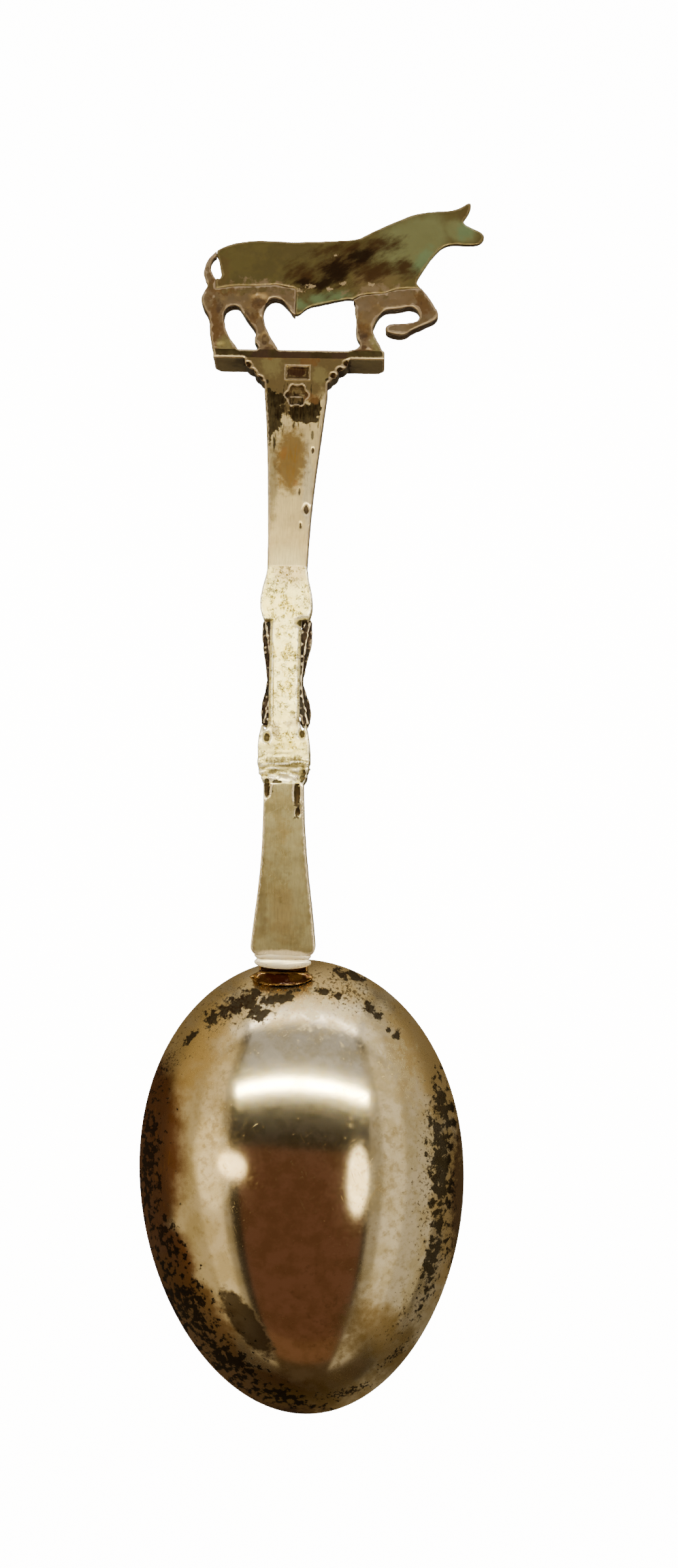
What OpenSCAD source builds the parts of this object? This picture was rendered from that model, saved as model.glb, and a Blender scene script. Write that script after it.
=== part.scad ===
// Souvenir spoon with a walking cow standing on a small plinth at the end of its stem.
// It lies face down: the bowl's rim and the front edge of the plinth rest on the table.
// +Y runs from the bowl to the cow, +X is towards the cow's head, +Z is up through the back.

/* [Bowl] */
// Length of the bowl, from its joint with the stem to its tip
bowl_l = 56; // [46:1:68]
// Width across the bowl at its widest
bowl_w = 40.4; // [32:1:48]
// Height of the bowl's back above its rim
bowl_h = 11; // [8:0.5:14]
// Thickness of the bowl's wall at its crown
bowl_wall = 1; // [0.8:0.1:1.4]
// Width of the flat lip round the bowl's rim
lip_w = 1.1; // [0.9:0.1:1.6]
// Extra fullness of the half nearer the stem, as a share of the width
bowl_egg = 0.07; // [0:0.01:0.16]
// How far the bowl's joint sits to the right of the stem's centre line
bowl_shift = 1.2; // [0:0.1:2]
// How far the bowl is turned in plan, in degrees
bowl_turn = 3.3; // [0:0.1:5]

/* [Neck and foot] */
// Width of the neck that joins the stem to the bowl
neck_w = 8.2; // [7:0.1:10]
// How far the neck reaches over the bowl's back
neck_reach = 4.1; // [3:0.1:6]
// Width of the double roll below the stem's foot
roll_w = 7.4; // [6:0.1:9]
// Length of the double roll along the stem
roll_l = 1.7; // [1:0.1:2.4]
// Width of the lower stem's foot
foot_w = 8.1; // [6.6:0.1:10]
// Corner radius of the foot
foot_r = 1.2; // [0.6:0.1:2]
// Height of the stem's back above the table at the foot
foot_z = 5.8; // [5:0.1:7]

/* [Stem] */
// Width of the stem where it meets the knop
stem_w = 4.9; // [4:0.1:6]
// Thickness of the stem
stem_t = 2.8; // [2:0.1:3.2]
// Length of the lower stem, from its foot to the knop
lower_l = 21.3; // [17:0.1:28]
// Length of the upper stem, from the knop to the plinth
upper_l = 27.3; // [22:0.1:34]
// Width of the upper stem at its top
upper_w = 7.9; // [6.8:0.1:9.4]
// Slope of the upper stem towards the table, in degrees
upper_tilt = 5.5; // [4:0.1:6]

/* [Knop] */
// Length of the knop
knop_l = 27.1; // [22:0.1:34]
// Greatest width of the knop's two swellings
knop_w = 6.4; // [5.6:0.1:8]
// Thickness of the two swellings
knop_t = 4; // [3.4:0.1:5]
// Height of the knop's back above the table
knop_z = 7.8; // [7:0.1:9]
// Length of the lower swelling
swell_lower = 7.6; // [6:0.1:9]
// Length of the upper swelling
swell_upper = 6.7; // [5:0.1:8]
// Width of the strap between the swellings
strap_w = 3.8; // [3:0.1:4.8]
// Thickness of the strap
strap_t = 1.6; // [1.2:0.1:2]
// Bevel along the strap's edges
strap_bevel = 0.35; // [0.2:0.05:0.5]

/* [Plinth] */
// Thickness of the plinth
plinth_t = 1.1; // [0.8:0.1:1.6]
// Radius of the plinth's front corners
plinth_r = 1.2; // [0.6:0.1:2]
// How far the scalloped brackets stand out from the stem
bracket_w = 2.6; // [1.8:0.1:3.4]
// Gap between the plinth's front edge and the table
plinth_gap = 0.05; // [0.02:0.01:0.3]

/* [Cow] */
// Length of the cow, from its hock to its nose
cow_l = 35.8; // [30:0.1:44]
// Height of the cow, from its hooves to its horn
cow_h = 20.3; // [17:0.1:25]
// Thickness of the legs
leg_t = 2.3; // [1.8:0.1:2.6]
// Thickness of the flat sheet behind the body
plate_t = 1; // [0.7:0.1:1.3]
// How far the front relief stands in from the body's outline
relief_in = 0.7; // [0.4:0.1:1.2]

/* [Marks] */
// Depth of the two struck marks
mark_deep = 0.3; // [0.15:0.05:0.5]
// Width of the oblong mark
mark_w = 3; // [2:0.1:4]
// Diameter of the star mark
star_d = 2.9; // [2:0.1:4]

/* [Hidden] */
FINE = 48;

// ---- Heights and stations along the spoon ----
JOINT_Y = 0.9;                                    // where the bowl's rim meets the neck
FOOT_Y = 1.2;                                     // where the lower stem's foot ends
LOWER_TILT = asin((knop_z - foot_z) / lower_l);
KNOP_Y0 = FOOT_Y + lower_l * cos(LOWER_TILT);
KNOP_Y1 = KNOP_Y0 + knop_l;
STRAP_Y0 = KNOP_Y0 + swell_lower;
STRAP_Y1 = KNOP_Y1 - swell_upper;
UNDER_STRAP = knop_z - strap_t;
// The plinth is as deep as it must be for its front edge to come down to the table.
PLINTH_D = (knop_z - upper_l * sin(upper_tilt) - plinth_t * sin(upper_tilt) - plinth_gap)
           / cos(upper_tilt);

// ---- The bowl ----
BULGE = 0.689;                                    // 0 is a cone, near 1 is a half ball
RIM_Z = sqrt(1 - BULGE);
RINGS = 12;
SPOKES = 64;

function dome(r2) = (sqrt(1 - BULGE * r2) - RIM_Z) / (1 - RIM_Z);

// A point on an egg-shaped dome: r runs from 0 at the crown to 1 at the rim.
function egg(r, q, a, b, h) =
    [a * r * cos(q) * (1 + bowl_egg * r * sin(q)), b * r * sin(q), h * dome(r * r)];

function on_bowl(p) =
    [bowl_shift + p[0] * cos(bowl_turn) - (p[1] - bowl_l / 2) * sin(bowl_turn),
     JOINT_Y + p[0] * sin(bowl_turn) + (p[1] - bowl_l / 2) * cos(bowl_turn), p[2]];

// Height of the bowl's back above the table at a place in plan, 0 outside the rim.
function bowl_back(x, y) =
    let (dx = x - bowl_shift, dy = y - JOINT_Y,
         u = dx * cos(bowl_turn) + dy * sin(bowl_turn),
         v = 1 + (dy * cos(bowl_turn) - dx * sin(bowl_turn)) / (bowl_l / 2),
         w = u / (bowl_w / 2 * (1 + bowl_egg * v)),
         r2 = v * v + w * w)
    r2 >= 1 ? 0 : bowl_h * dome(r2);

function egg_rings(a, b, h) = concat([on_bowl(egg(0, 0, a, b, h))],
    [for (i = [1:RINGS], j = [0:SPOKES - 1])
        on_bowl(egg(sin(90 * i / RINGS), 360 * j / SPOKES, a, b, h))]);

module bowl() {
    outer = egg_rings(bowl_w / 2, bowl_l / 2, bowl_h);
    inner = egg_rings(bowl_w / 2 - lip_w, bowl_l / 2 - lip_w, bowl_h - bowl_wall);
    n = len(outer);
    function at(i, j) = i == 0 ? 0 : 1 + (i - 1) * SPOKES + j % SPOKES;
    color("lightgray")
        polyhedron(concat(outer, inner), concat(
            [for (j = [0:SPOKES - 1]) [0, at(1, j + 1), at(1, j)]],
            [for (i = [1:RINGS - 1], j = [0:SPOKES - 1])
                [at(i, j), at(i, j + 1), at(i + 1, j + 1), at(i + 1, j)]],
            [for (j = [0:SPOKES - 1]) [n, n + at(1, j), n + at(1, j + 1)]],
            [for (i = [1:RINGS - 1], j = [0:SPOKES - 1])
                [n + at(i, j), n + at(i + 1, j), n + at(i + 1, j + 1), n + at(i, j + 1)]],
            [for (j = [0:SPOKES - 1])
                [n + at(RINGS, j), at(RINGS, j), at(RINGS, j + 1), n + at(RINGS, j + 1)]]),
            convexity = 4);
}

// ---- The neck: a saddle that fills the room between the foot and the bowl's back ----
NECK_LOW = 1;                                     // front face of the neck, above the table
NECK_SKIN = 0.2;                                  // least thickness where it runs out
ROLL_END = FOOT_Y - roll_l * cos(LOWER_TILT) - (stem_t - 0.2) * sin(LOWER_TILT);
COVE_Z = foot_z - 0.75 * stem_t;

// Underside of the lower stem and its roll, above the table.
function stem_under(y) =
    foot_z + (y - FOOT_Y) * tan(LOWER_TILT) - stem_t / cos(LOWER_TILT);
function neck_under(x, y) = max(NECK_LOW, bowl_back(x, y));
function neck_top(x, y) =
    max(neck_under(x, y) + NECK_SKIN, y < ROLL_END ? COVE_Z - 0.4 * pow(2 * x / neck_w, 4)
                                                  : stem_under(y));

module neck() {
    xs = [for (i = [-8:8]) neck_w / 2 * i / 8];
    y0 = JOINT_Y - neck_reach;
    ys = concat([for (i = [0:8]) y0 + (ROLL_END - 0.05 - y0) * i / 8],
                [for (i = [0:6]) ROLL_END + (FOOT_Y + foot_r - ROLL_END) * i / 6]);
    m = len(ys);
    k = len(xs) * m;
    function at(i, j) = i * m + j;
    last = len(xs) - 1;
    color("darkgoldenrod")
        polyhedron(
            concat([for (x = xs, y = ys) [x, y, neck_top(x, y)]],
                   [for (x = xs, y = ys) [x, y, neck_under(x, y)]]),
            concat(
                [for (i = [0:last - 1], j = [0:m - 2])
                    [at(i, j), at(i, j + 1), at(i + 1, j + 1), at(i + 1, j)]],
                [for (i = [0:last - 1], j = [0:m - 2])
                    [k + at(i, j), k + at(i + 1, j), k + at(i + 1, j + 1), k + at(i, j + 1)]],
                [for (j = [0:m - 2]) each [
                    [at(0, j), k + at(0, j), k + at(0, j + 1), at(0, j + 1)],
                    [at(last, j), at(last, j + 1), k + at(last, j + 1), k + at(last, j)]]],
                [for (i = [0:last - 1]) each [
                    [at(i, 0), at(i + 1, 0), k + at(i + 1, 0), k + at(i, 0)],
                    [at(i, m - 1), k + at(i, m - 1), k + at(i + 1, m - 1), at(i + 1, m - 1)]]]),
            convexity = 4);
}

function disc(c, r) = [for (i = [0:23]) c + r * [cos(15 * i), sin(15 * i)]];

// ---- Flat bars: an outline in plan with its back face at z = 0 ----
module bar(t) translate([0, 0, -t]) linear_extrude(t) children();

// A symmetric outline from its [half width, station] pairs.
function both_sides(half) = concat(half,
    [for (i = [len(half) - 1:-1:0]) [-half[i][0], half[i][1]]]);

module on_lower() translate([0, FOOT_Y, foot_z]) rotate([LOWER_TILT, 0, 0]) children();
module on_upper() translate([0, KNOP_Y1, knop_z]) rotate([-upper_tilt, 0, 0]) children();
// Cuts a sloping bar off square where it meets the knop.
module up_to(y0, y1) intersection() {
    children();
    translate([-50, y0, -1]) cube([100, y1 - y0, 30]);
}

// ---- Lower stem: narrow at the knop, flaring to a foot with round corners ----
function flare(u) = (pow(u, 1.7) + (1 - cos(180 * pow(u, 1.5))) / 2) / 2;
function lower_half(s) =
    let (w = stem_w / 2 + (foot_w - stem_w) / 2 * flare(1 - s / lower_l))
    s < foot_r ? w - foot_r + sqrt(foot_r * foot_r - pow(foot_r - s, 2)) : w;

module lower_stem() {
    ss = concat([for (i = [0:6]) foot_r * (1 - cos(15 * i))],
                [for (i = [1:14]) foot_r + (lower_l + 0.5 - foot_r) * i / 14]);
    color("tan") up_to(0, KNOP_Y0) on_lower()
        bar(stem_t) polygon(both_sides([for (s = ss) [lower_half(min(s, lower_l)), s]]));
}

module foot_roll() {
    r = roll_l / 4;
    color("silver") on_lower() intersection() {
        union() {
            translate([-roll_w / 2, -roll_l + r, -stem_t]) cube([roll_w, roll_l - r, stem_t - r]);
            for (y = [-r, -3 * r]) translate([-roll_w / 2, y, -r])
                rotate([0, 90, 0]) cylinder(r = r, h = roll_w, $fn = FINE);
            translate([-roll_w / 2, -roll_l, -stem_t]) cube([roll_w, 2 * r, stem_t - r]);
        }
        bar(stem_t) translate([-roll_w / 2, -roll_l]) square([roll_w, roll_l]);
    }
}

// ---- Knop: two swellings joined by a strap, with a turned baluster below it ----
function swell(u, k) = sin(158.4 * pow(u, k));
function swell_half(len, k) = [for (i = [0:16])
    [stem_w / 2 + (knop_w - stem_w) / 2 * swell(i / 16, k), len * i / 16]];

module knop_lower() color("khaki") translate([0, KNOP_Y0, knop_z]) difference() {
    bar(knop_t) polygon(both_sides(swell_half(swell_lower, 0.8)));
    for (s = [-1, 1]) translate([0, 0, -knop_t - 1]) linear_extrude(knop_t + 2)
        polygon([[s * (strap_w / 2 + 0.1), swell_lower + 1],
                 [s * (strap_w / 2 + 0.1), swell_lower - 0.3],
                 [s * (strap_w / 2 + 0.45), swell_lower - 1.3],
                 [s * (strap_w / 2 + 0.75), swell_lower - 0.3],
                 [s * (strap_w / 2 + 0.75), swell_lower + 1]]);
}

module knop_upper() color("khaki") translate([0, KNOP_Y1, knop_z])
    mirror([0, 1, 0]) bar(knop_t) polygon(both_sides(swell_half(swell_upper, 1.5)));

module strap() {
    w = strap_w / 2;
    b = strap_bevel;
    color("lemonchiffon") translate([0, STRAP_Y1, knop_z]) rotate([90, 0, 0])
        linear_extrude(STRAP_Y1 - STRAP_Y0)
            polygon([[-w, -strap_t], [w, -strap_t], [w, -b], [w - b, 0], [b - w, 0], [-w, -b]]);
}

BAL_R = strap_w / 2;                              // radius at the baluster's ends
BAL_WAIST = 1.1;
WAIST_AT = 0.4;                                   // the waist, as a share of its length
function waist(v) = v < WAIST_AT ? pow(1 - v / WAIST_AT, 1.6)
                                 : pow((v - WAIST_AT) / (1 - WAIST_AT), 1.6);

function bal_side(len) =
    [for (i = [0:24]) [BAL_WAIST + (BAL_R - BAL_WAIST) * waist(i / 24), len * i / 24]];

module baluster() {
    len = STRAP_Y1 - STRAP_Y0;
    rim = bal_side(len);
    color("dimgray") intersection() {
        translate([0, STRAP_Y0, UNDER_STRAP - 0.9]) rotate([-90, 0, 0])
            rotate_extrude($fn = FINE) polygon(concat([[0, 0]], rim, [[0, len]]));
        translate([-20, STRAP_Y0, 0]) cube([40, len, UNDER_STRAP]);
    }
}

SCROLL_W = 0.8;                                   // width of the scroll's band
SCROLL_T = 1.3;                                   // its thickness
CURL_R = 0.7;                                     // radius of the curls at its two ends
module scroll(side) {
    len = STRAP_Y1 - STRAP_Y0;
    outer = knop_w / 2 - SCROLL_W / 2 - 0.15;
    inner = strap_w / 2 - 0.15;
    mid = [for (i = [0:20]) [inner + (outer - inner) * waist(i / 20), len * i / 20]];
    color("saddlebrown") translate([0, STRAP_Y0, UNDER_STRAP - 0.3 - SCROLL_T])
        linear_extrude(SCROLL_T) scale([side, 1]) difference() {
            union() {
                polygon(concat([for (p = mid) [p[0] + SCROLL_W / 2, p[1]]],
                    [for (i = [20:-1:0]) [mid[i][0] - SCROLL_W / 2, mid[i][1]]]));
                for (v = [0.13, 0.87])
                    polygon(disc([inner + 0.3, len * v], CURL_R));
            }
            polygon(concat([[-1, 0]], bal_side(len), [[-1, len]]));
        }
}
module scroll_left() scroll(-1);
module scroll_right() scroll(1);

// ---- Upper stem, with two struck marks near its top ----
function upper_half(s) =
    stem_w / 2 + (upper_w - stem_w) / 2 * pow(min(1, s / (0.84 * upper_l)), 1.6);
STAR_AT = upper_l - 4.9;                          // stations of the two marks
OBLONG_AT = upper_l - 1.9;
MARK_X = 0.15;

function lobed(r, lobes, depth) =
    [for (i = [0:6 * lobes - 1]) let (q = 60 * i / lobes)
        (r + depth * cos(lobes * q)) * [cos(q), sin(q)]];

module upper_stem() {
    ss = concat([-0.5], [for (i = [0:20]) upper_l * 0.84 * i / 20], [upper_l]);
    color("darkkhaki") up_to(KNOP_Y1, 200) on_upper() difference() {
        bar(stem_t) polygon(both_sides([for (s = ss) [upper_half(max(0, s)), s]]));
        translate([MARK_X, OBLONG_AT, -mark_deep]) linear_extrude(1) difference() {
            square([mark_w, mark_w * 0.6], center = true);
            for (x = [-1, 0, 1]) translate([x * mark_w * 0.27, 0])
                circle(r = mark_w * 0.08, $fn = FINE);
        }
        translate([MARK_X, STAR_AT, -mark_deep]) linear_extrude(1) difference() {
            polygon(lobed(star_d * 0.45, 6, star_d * 0.05));
            circle(r = star_d * 0.17, $fn = FINE);
        }
    }
}

// ---- Brackets: three scallops that step out from the stem to the plinth ----
// Each scallop is [x, y, radius, first angle, last angle] for a bracket one unit wide.
SCALLOPS = [[0.52, -0.1, 0.48, 0, -89], [0.15, -0.62, 0.38, 6, -79], [0, -0.98, 0.22, -4, -90]];
module bracket(side) on_upper() bar(stem_t) scale([side, 1]) translate([upper_w / 2, upper_l])
    polygon(bracket_w * concat([[0, 0], [1, 0]],
        [for (s = SCALLOPS, i = [0:8]) let (q = s[3] + (s[4] - s[3]) * i / 8)
            [s[0] + s[2] * cos(q), s[1] + s[2] * sin(q)]]));
module bracket_left() color("gray") bracket(-1);
module bracket_right() color("gray") bracket(1);

// ---- The cow: outline points are [x, height above the plinth] at this length and height ----
DRAWN_L = 35.8;
DRAWN_H = 20.3;
function fit(p) = [p[0] * cow_l / DRAWN_L, p[1] * cow_h / DRAWN_H];
COW_Y = upper_l + plinth_t;                       // the hooves' station on the upper stem

OUTLINE = [
    // horn, brow, muzzle, jaw and throat
    [21.7, 20.5], [21.9, 19.8], [21.4, 18.6], [20.7, 17.6], [21.9, 16.9], [23.1, 16.4],
    [23.6, 15.8], [23.4, 15.1], [22.7, 14.6], [21.2, 14.6], [19.6, 14.7], [18.4, 14.4],
    [17.6, 13.6], [16.7, 12.5], [15.9, 11.2], [14.9, 9.4],
    // raised foreleg: shoulder, knee, hoof and back to the gap
    [15.3, 8.9], [16.4, 7.6], [17.4, 6.1], [17.9, 5.2], [17.4, 4.3], [16.1, 3.7],
    [14.6, 3.0], [13.6, 2.3], [12.5, 2.3], [11.2, 2.7], [11.3, 3.4], [12.1, 3.7],
    [14.0, 3.9], [15.1, 4.1], [15.6, 4.7], [15.4, 5.5], [14.9, 6.0], [14.0, 6.2],
    [12.8, 5.8], [11.2, 5.7],
    // standing foreleg
    [10.3, 4.9], [9.5, 3.5], [9.6, 2.5], [10.3, 1.1], [10.9, 0], [11.2, -1],
    // hind leg
    [-10.6, -1], [-10.7, 0], [-10.9, 1.2], [-11.1, 2.3], [-11.2, 4.3], [-12.0, 5.6],
    [-12.4, 6.8], [-12.0, 8.0],
    // tail, rump, back and neck
    [-11.6, 8.7], [-12.1, 9.7], [-12.2, 10.7], [-11.9, 11.8], [-11.2, 12.8], [-10.1, 13.7],
    [-8.7, 14.3], [-7.0, 14.6], [-5.3, 14.8], [-3.4, 14.7], [-0.6, 14.6], [2.2, 14.7],
    [5.0, 14.9], [7.4, 15.1], [8.6, 15.8], [10.4, 16.8], [12.2, 17.6], [14.1, 18.5],
    [15.8, 18.9], [17.4, 19.1], [19.0, 19.2], [20.4, 19.6]];
TAIL_GAP = [[-10.6, 12.7], [-10.3, 12.0], [-10.1, 10.9], [-9.8, 10.0], [-10.1, 9.4],
    [-10.6, 9.5], [-11.1, 10.2], [-11.4, 11.1], [-11.2, 12.0]];
BELLY_GAP = [[-2.4, 0.1], [-2.9, 0.7], [-3.5, 1.8], [-4.2, 3.5], [-4.5, 4.8], [-4.3, 6.0],
    [-3.8, 6.8], [-3.0, 7.1], [-2.1, 6.8], [-1.3, 5.9], [-0.6, 4.8], [0.1, 4.7], [1.3, 5.8],
    [2.6, 6.2], [4.8, 6.7], [7.0, 7.1], [7.3, 6.0], [7.4, 3.5], [7.5, 2.0], [8.1, 1.1],
    [7.7, 0.3], [6.2, 0], [6.0, -1.2], [-2.2, -1.2]];
HOCK_GAP = [[-9.5, 5.0], [-9.0, 5.8], [-7.7, 6.0], [-7.1, 5.1], [-5.8, 3.4], [-5.1, 2.4],
    [-5.5, 1.3], [-4.8, 0.4], [-5.2, -0.2], [-5.4, -1.2], [-7.2, -1.2], [-7.5, 0],
    [-8.5, 1.4], [-9.3, 3.2]];
HIND_CUT = [[-14, -1], [-0.3, -1], [-0.3, 8.3], [-3, 8.8], [-5.3, 8.6], [-8.6, 8.5],
    [-10.6, 8.1], [-14, 8.1]];
FORE_CUT = [[5.5, -1], [5.5, 3], [7, 5], [7, 7], [7.9, 7.5], [9, 7.7], [10.7, 7.8],
    [11.7, 8.1], [11.7, 6.2], [11, 5.5], [10.6, 4], [10.6, 2], [11.6, 0.6], [11.6, -1]];
RAISED_CUT = [[11.7, 8.1], [12.5, 8.4], [14.8, 8.6], [19, 8.6], [19, 0.6], [11.6, 0.6],
    [10.6, 2], [10.6, 4], [11, 5.5], [11.7, 6.2]];
TAIL_CUT = [[-14, 8.1], [-10.6, 8.1], [-10.6, 13.9], [-14, 13.9]];

// Cuts the corners of a closed outline once, or n times, which rounds it.
function rounded(p, n) = n == 0 ? p : rounded(
    [for (i = [0:len(p) - 1]) let (q = p[(i + 1) % len(p)])
        each [0.75 * p[i] + 0.25 * q, 0.25 * p[i] + 0.75 * q]], n - 1);
module shape(p, n = 0) polygon([for (q = rounded(p, n)) fit(q)]);

// The cow's outline, trimmed to stand on the plinth.
module cow_shape() intersection() {
    difference() {
        shape(OUTLINE, 2);
        shape(TAIL_GAP, 2);
        shape(BELLY_GAP, 2);
        shape(HOCK_GAP, 2);
    }
    translate([-60, 0]) square([120, 60]);
}
module cow_part(cut) intersection() {
    cow_shape();
    shape(cut);
}
module body_shape() difference() {
    cow_shape();
    for (cut = [HIND_CUT, FORE_CUT, RAISED_CUT, TAIL_CUT]) shape(cut);
}
module on_plinth() on_upper() translate([0, COW_Y, 0]) children();

module hind_legs() color("rosybrown") on_plinth() bar(leg_t) cow_part(HIND_CUT);
module foreleg() color("rosybrown") on_plinth() bar(leg_t) cow_part(FORE_CUT);
module raised_leg() color("rosybrown") on_plinth() bar(leg_t) cow_part(RAISED_CUT);
module tail() color("rosybrown") on_plinth() bar(leg_t * 0.7) cow_part(TAIL_CUT);
module body_plate() color("darkolivegreen") on_plinth() bar(plate_t) body_shape();
module body_relief() color("gray") on_plinth() translate([0, 0, -plate_t])
    bar(leg_t - plate_t) offset(delta = -relief_in) body_shape();

module plinth() {
    x0 = fit([-10.6, 0])[0];
    x1 = fit([11.1, 0])[0];
    r = plinth_r;
    color("gray") on_upper() translate([0, COW_Y, 0]) rotate([90, 0, 0]) linear_extrude(plinth_t)
        polygon(concat([[x0, 0], [x0, r - PLINTH_D]],
            [for (i = [0:8]) [x0 + r - r * cos(11.25 * i), r - PLINTH_D - r * sin(11.25 * i)]],
            [for (i = [8:-1:0]) [x1 - r + r * cos(11.25 * i), r - PLINTH_D - r * sin(11.25 * i)]],
            [[x1, 0]]));
}

// ---- The whole box, so that the origin is under its middle ----
RIM = [for (j = [0:SPOKES - 1]) on_bowl(egg(1, 360 * j / SPOKES, bowl_w / 2, bowl_l / 2, 0))];
COW = [for (p = rounded(OUTLINE, 2)) fit(p)];
X_LOW = min(concat([for (p = RIM) p[0]], [for (p = COW) p[0]]));
X_HIGH = max(concat([for (p = RIM) p[0]], [for (p = COW) p[0]]));
Y_LOW = min([for (p = RIM) p[1]]);
Y_HIGH = KNOP_Y1 + (COW_Y + max([for (p = COW) p[1]])) * cos(upper_tilt);
module centred() translate([-(X_LOW + X_HIGH) / 2, -(Y_LOW + Y_HIGH) / 2, 0]) children();

centred() bowl();
centred() neck();
centred() foot_roll();
centred() lower_stem();
centred() knop_lower();
centred() strap();
centred() baluster();
centred() scroll_left();
centred() scroll_right();
centred() knop_upper();
centred() upper_stem();
centred() bracket_left();
centred() bracket_right();
centred() plinth();
centred() hind_legs();
centred() foreleg();
centred() raised_leg();
centred() tail();
centred() body_plate();
centred() body_relief();
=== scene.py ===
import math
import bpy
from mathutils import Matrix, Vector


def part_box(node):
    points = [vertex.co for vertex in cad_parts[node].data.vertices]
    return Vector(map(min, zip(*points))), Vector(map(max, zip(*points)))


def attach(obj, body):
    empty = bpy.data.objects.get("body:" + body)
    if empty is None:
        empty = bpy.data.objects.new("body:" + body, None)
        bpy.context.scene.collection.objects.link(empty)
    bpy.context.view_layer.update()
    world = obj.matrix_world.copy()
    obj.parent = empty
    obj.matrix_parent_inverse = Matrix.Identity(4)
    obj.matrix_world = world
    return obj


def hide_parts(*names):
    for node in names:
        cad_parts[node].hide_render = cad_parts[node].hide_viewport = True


bl_info = {
    "name": "Souvenir Spoon",
    "version": (1, 0, 0),
    "blender": (4, 5, 0),
    "location": "View3D > Sidebar > Spoon",
    "description": "Builds an old silver souvenir spoon with a walking cow on its end",
    "category": "Object",
}

import bmesh
import bpy
import numpy as np
from bpy.props import FloatProperty, FloatVectorProperty, IntProperty, PointerProperty
from mathutils import Matrix, Vector
from mathutils.kdtree import KDTree

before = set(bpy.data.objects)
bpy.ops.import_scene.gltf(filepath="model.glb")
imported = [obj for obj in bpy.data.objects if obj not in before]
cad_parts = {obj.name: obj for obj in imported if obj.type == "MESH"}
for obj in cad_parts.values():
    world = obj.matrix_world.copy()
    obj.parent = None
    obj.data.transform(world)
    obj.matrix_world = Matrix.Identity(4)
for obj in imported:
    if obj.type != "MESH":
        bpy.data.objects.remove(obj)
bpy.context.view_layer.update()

MM = 0.001                      # one millimetre; pieces are shaped in millimetres, then shrunk


def linear(code):
    """A colour written as sRGB hex, as linear RGBA."""
    parts = [int(code[i:i + 2], 16) / 255 for i in (1, 3, 5)]
    return (*[p / 12.92 if p <= 0.04045 else ((p + 0.055) / 1.055) ** 2.4 for p in parts], 1.0)


def corners(node):
    """Lowest and highest corner of a CAD node, in millimetres."""
    low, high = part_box(node)
    return np.array(low) / MM, np.array(high) / MM


# ---- Places along the spoon, all from the CAD parts of model.glb, in millimetres ----
BOWL_LOW, BOWL_HIGH = corners("bowl")
STEM_X = (corners("upper_stem")[0][0] + corners("upper_stem")[1][0]) / 2
KNOP_LOW_Y = corners("knop_lower")[0][1]
KNOP_HIGH_Y = corners("knop_upper")[1][1]
BACK_Z = corners("strap")[1][2]
STRAP_LOW, STRAP_HIGH = corners("strap")
FOOT_Y = corners("lower_stem")[0][1]
HINGE = np.array([STEM_X, KNOP_HIGH_Y, BACK_Z])     # where the upper stem starts to slope down


# ---- Sizes and colours that a user would change ----
def size(name, description, default, **more):
    """A length in metres, shown in the scene's unit."""
    return FloatProperty(name=name, description=description, default=default,
                         unit="LENGTH", subtype="DISTANCE", precision=5, **more)


def tint(name, description, code):
    """A colour, given as sRGB hex."""
    return FloatVectorProperty(name=name, description=description, default=linear(code),
                               subtype="COLOR", size=4, min=0.0, max=1.0)


class SpoonBowlSizes(bpy.types.PropertyGroup):
    """The rule that the bowl's two skins follow."""
    width: size("Width", "Width across the bowl", 0.0404)
    length: size("Length", "Length of the bowl from its joint to its tip", 0.056)
    height: size("Height", "Height of the back above the rim", BOWL_HIGH[2] * MM)
    wall: size("Wall", "Thickness of the wall at the crown", 0.001)
    lip: size("Lip", "Width of the flat lip", 0.0011)
    rim_round: size("Rim rounding", "Worn rounding of the lip's two edges", 0.00028)
    egg: FloatProperty(name="Egg", description="Extra fullness of the half nearer the stem",
                       default=0.07, min=0.0, max=0.3)
    bulge: FloatProperty(name="Bulge", description="0 makes a cone and near 1 a half ball",
                         default=0.689, min=0.1, max=0.95)
    turn: FloatProperty(name="Turn", description="How far the bowl is turned in plan",
                        default=math.radians(3.3), unit="ROTATION", subtype="ANGLE")
    rings: IntProperty(name="Rings", description="Rings in each skin", default=88, min=12, max=200)
    spokes: IntProperty(name="Spokes", description="Spokes in each skin", default=224, min=32,
                        max=400)


class SpoonHandleSizes(bpy.types.PropertyGroup):
    """Sizes of the cast handle, its ornament and its wear."""
    upper_tilt: FloatProperty(name="Upper tilt", description="Slope of the upper stem",
                              default=math.radians(5.5), unit="ROTATION", subtype="ANGLE")
    lower_tilt: FloatProperty(name="Lower tilt", description="Slope of the lower stem",
                              default=math.radians(5.388), unit="ROTATION", subtype="ANGLE")
    grain: size("Casting grain", "Spacing of the cast pieces' points", 0.00013)
    roll_bow: size("Roll bow", "How far the lower roll bows out at its middle", 0.0003)
    band: size("Scroll band", "Width of the scrolls' band", 0.0008)
    lobe: size("Lobe", "Radius of the lobes on the scrolls", 0.00052)
    lobes: IntProperty(name="Lobes", description="Lobes along each scroll", default=9, min=2,
                       max=16)
    beads: IntProperty(name="Rings", description="Turned rings at each end of the baluster",
                       default=3, min=1, max=6)


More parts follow.
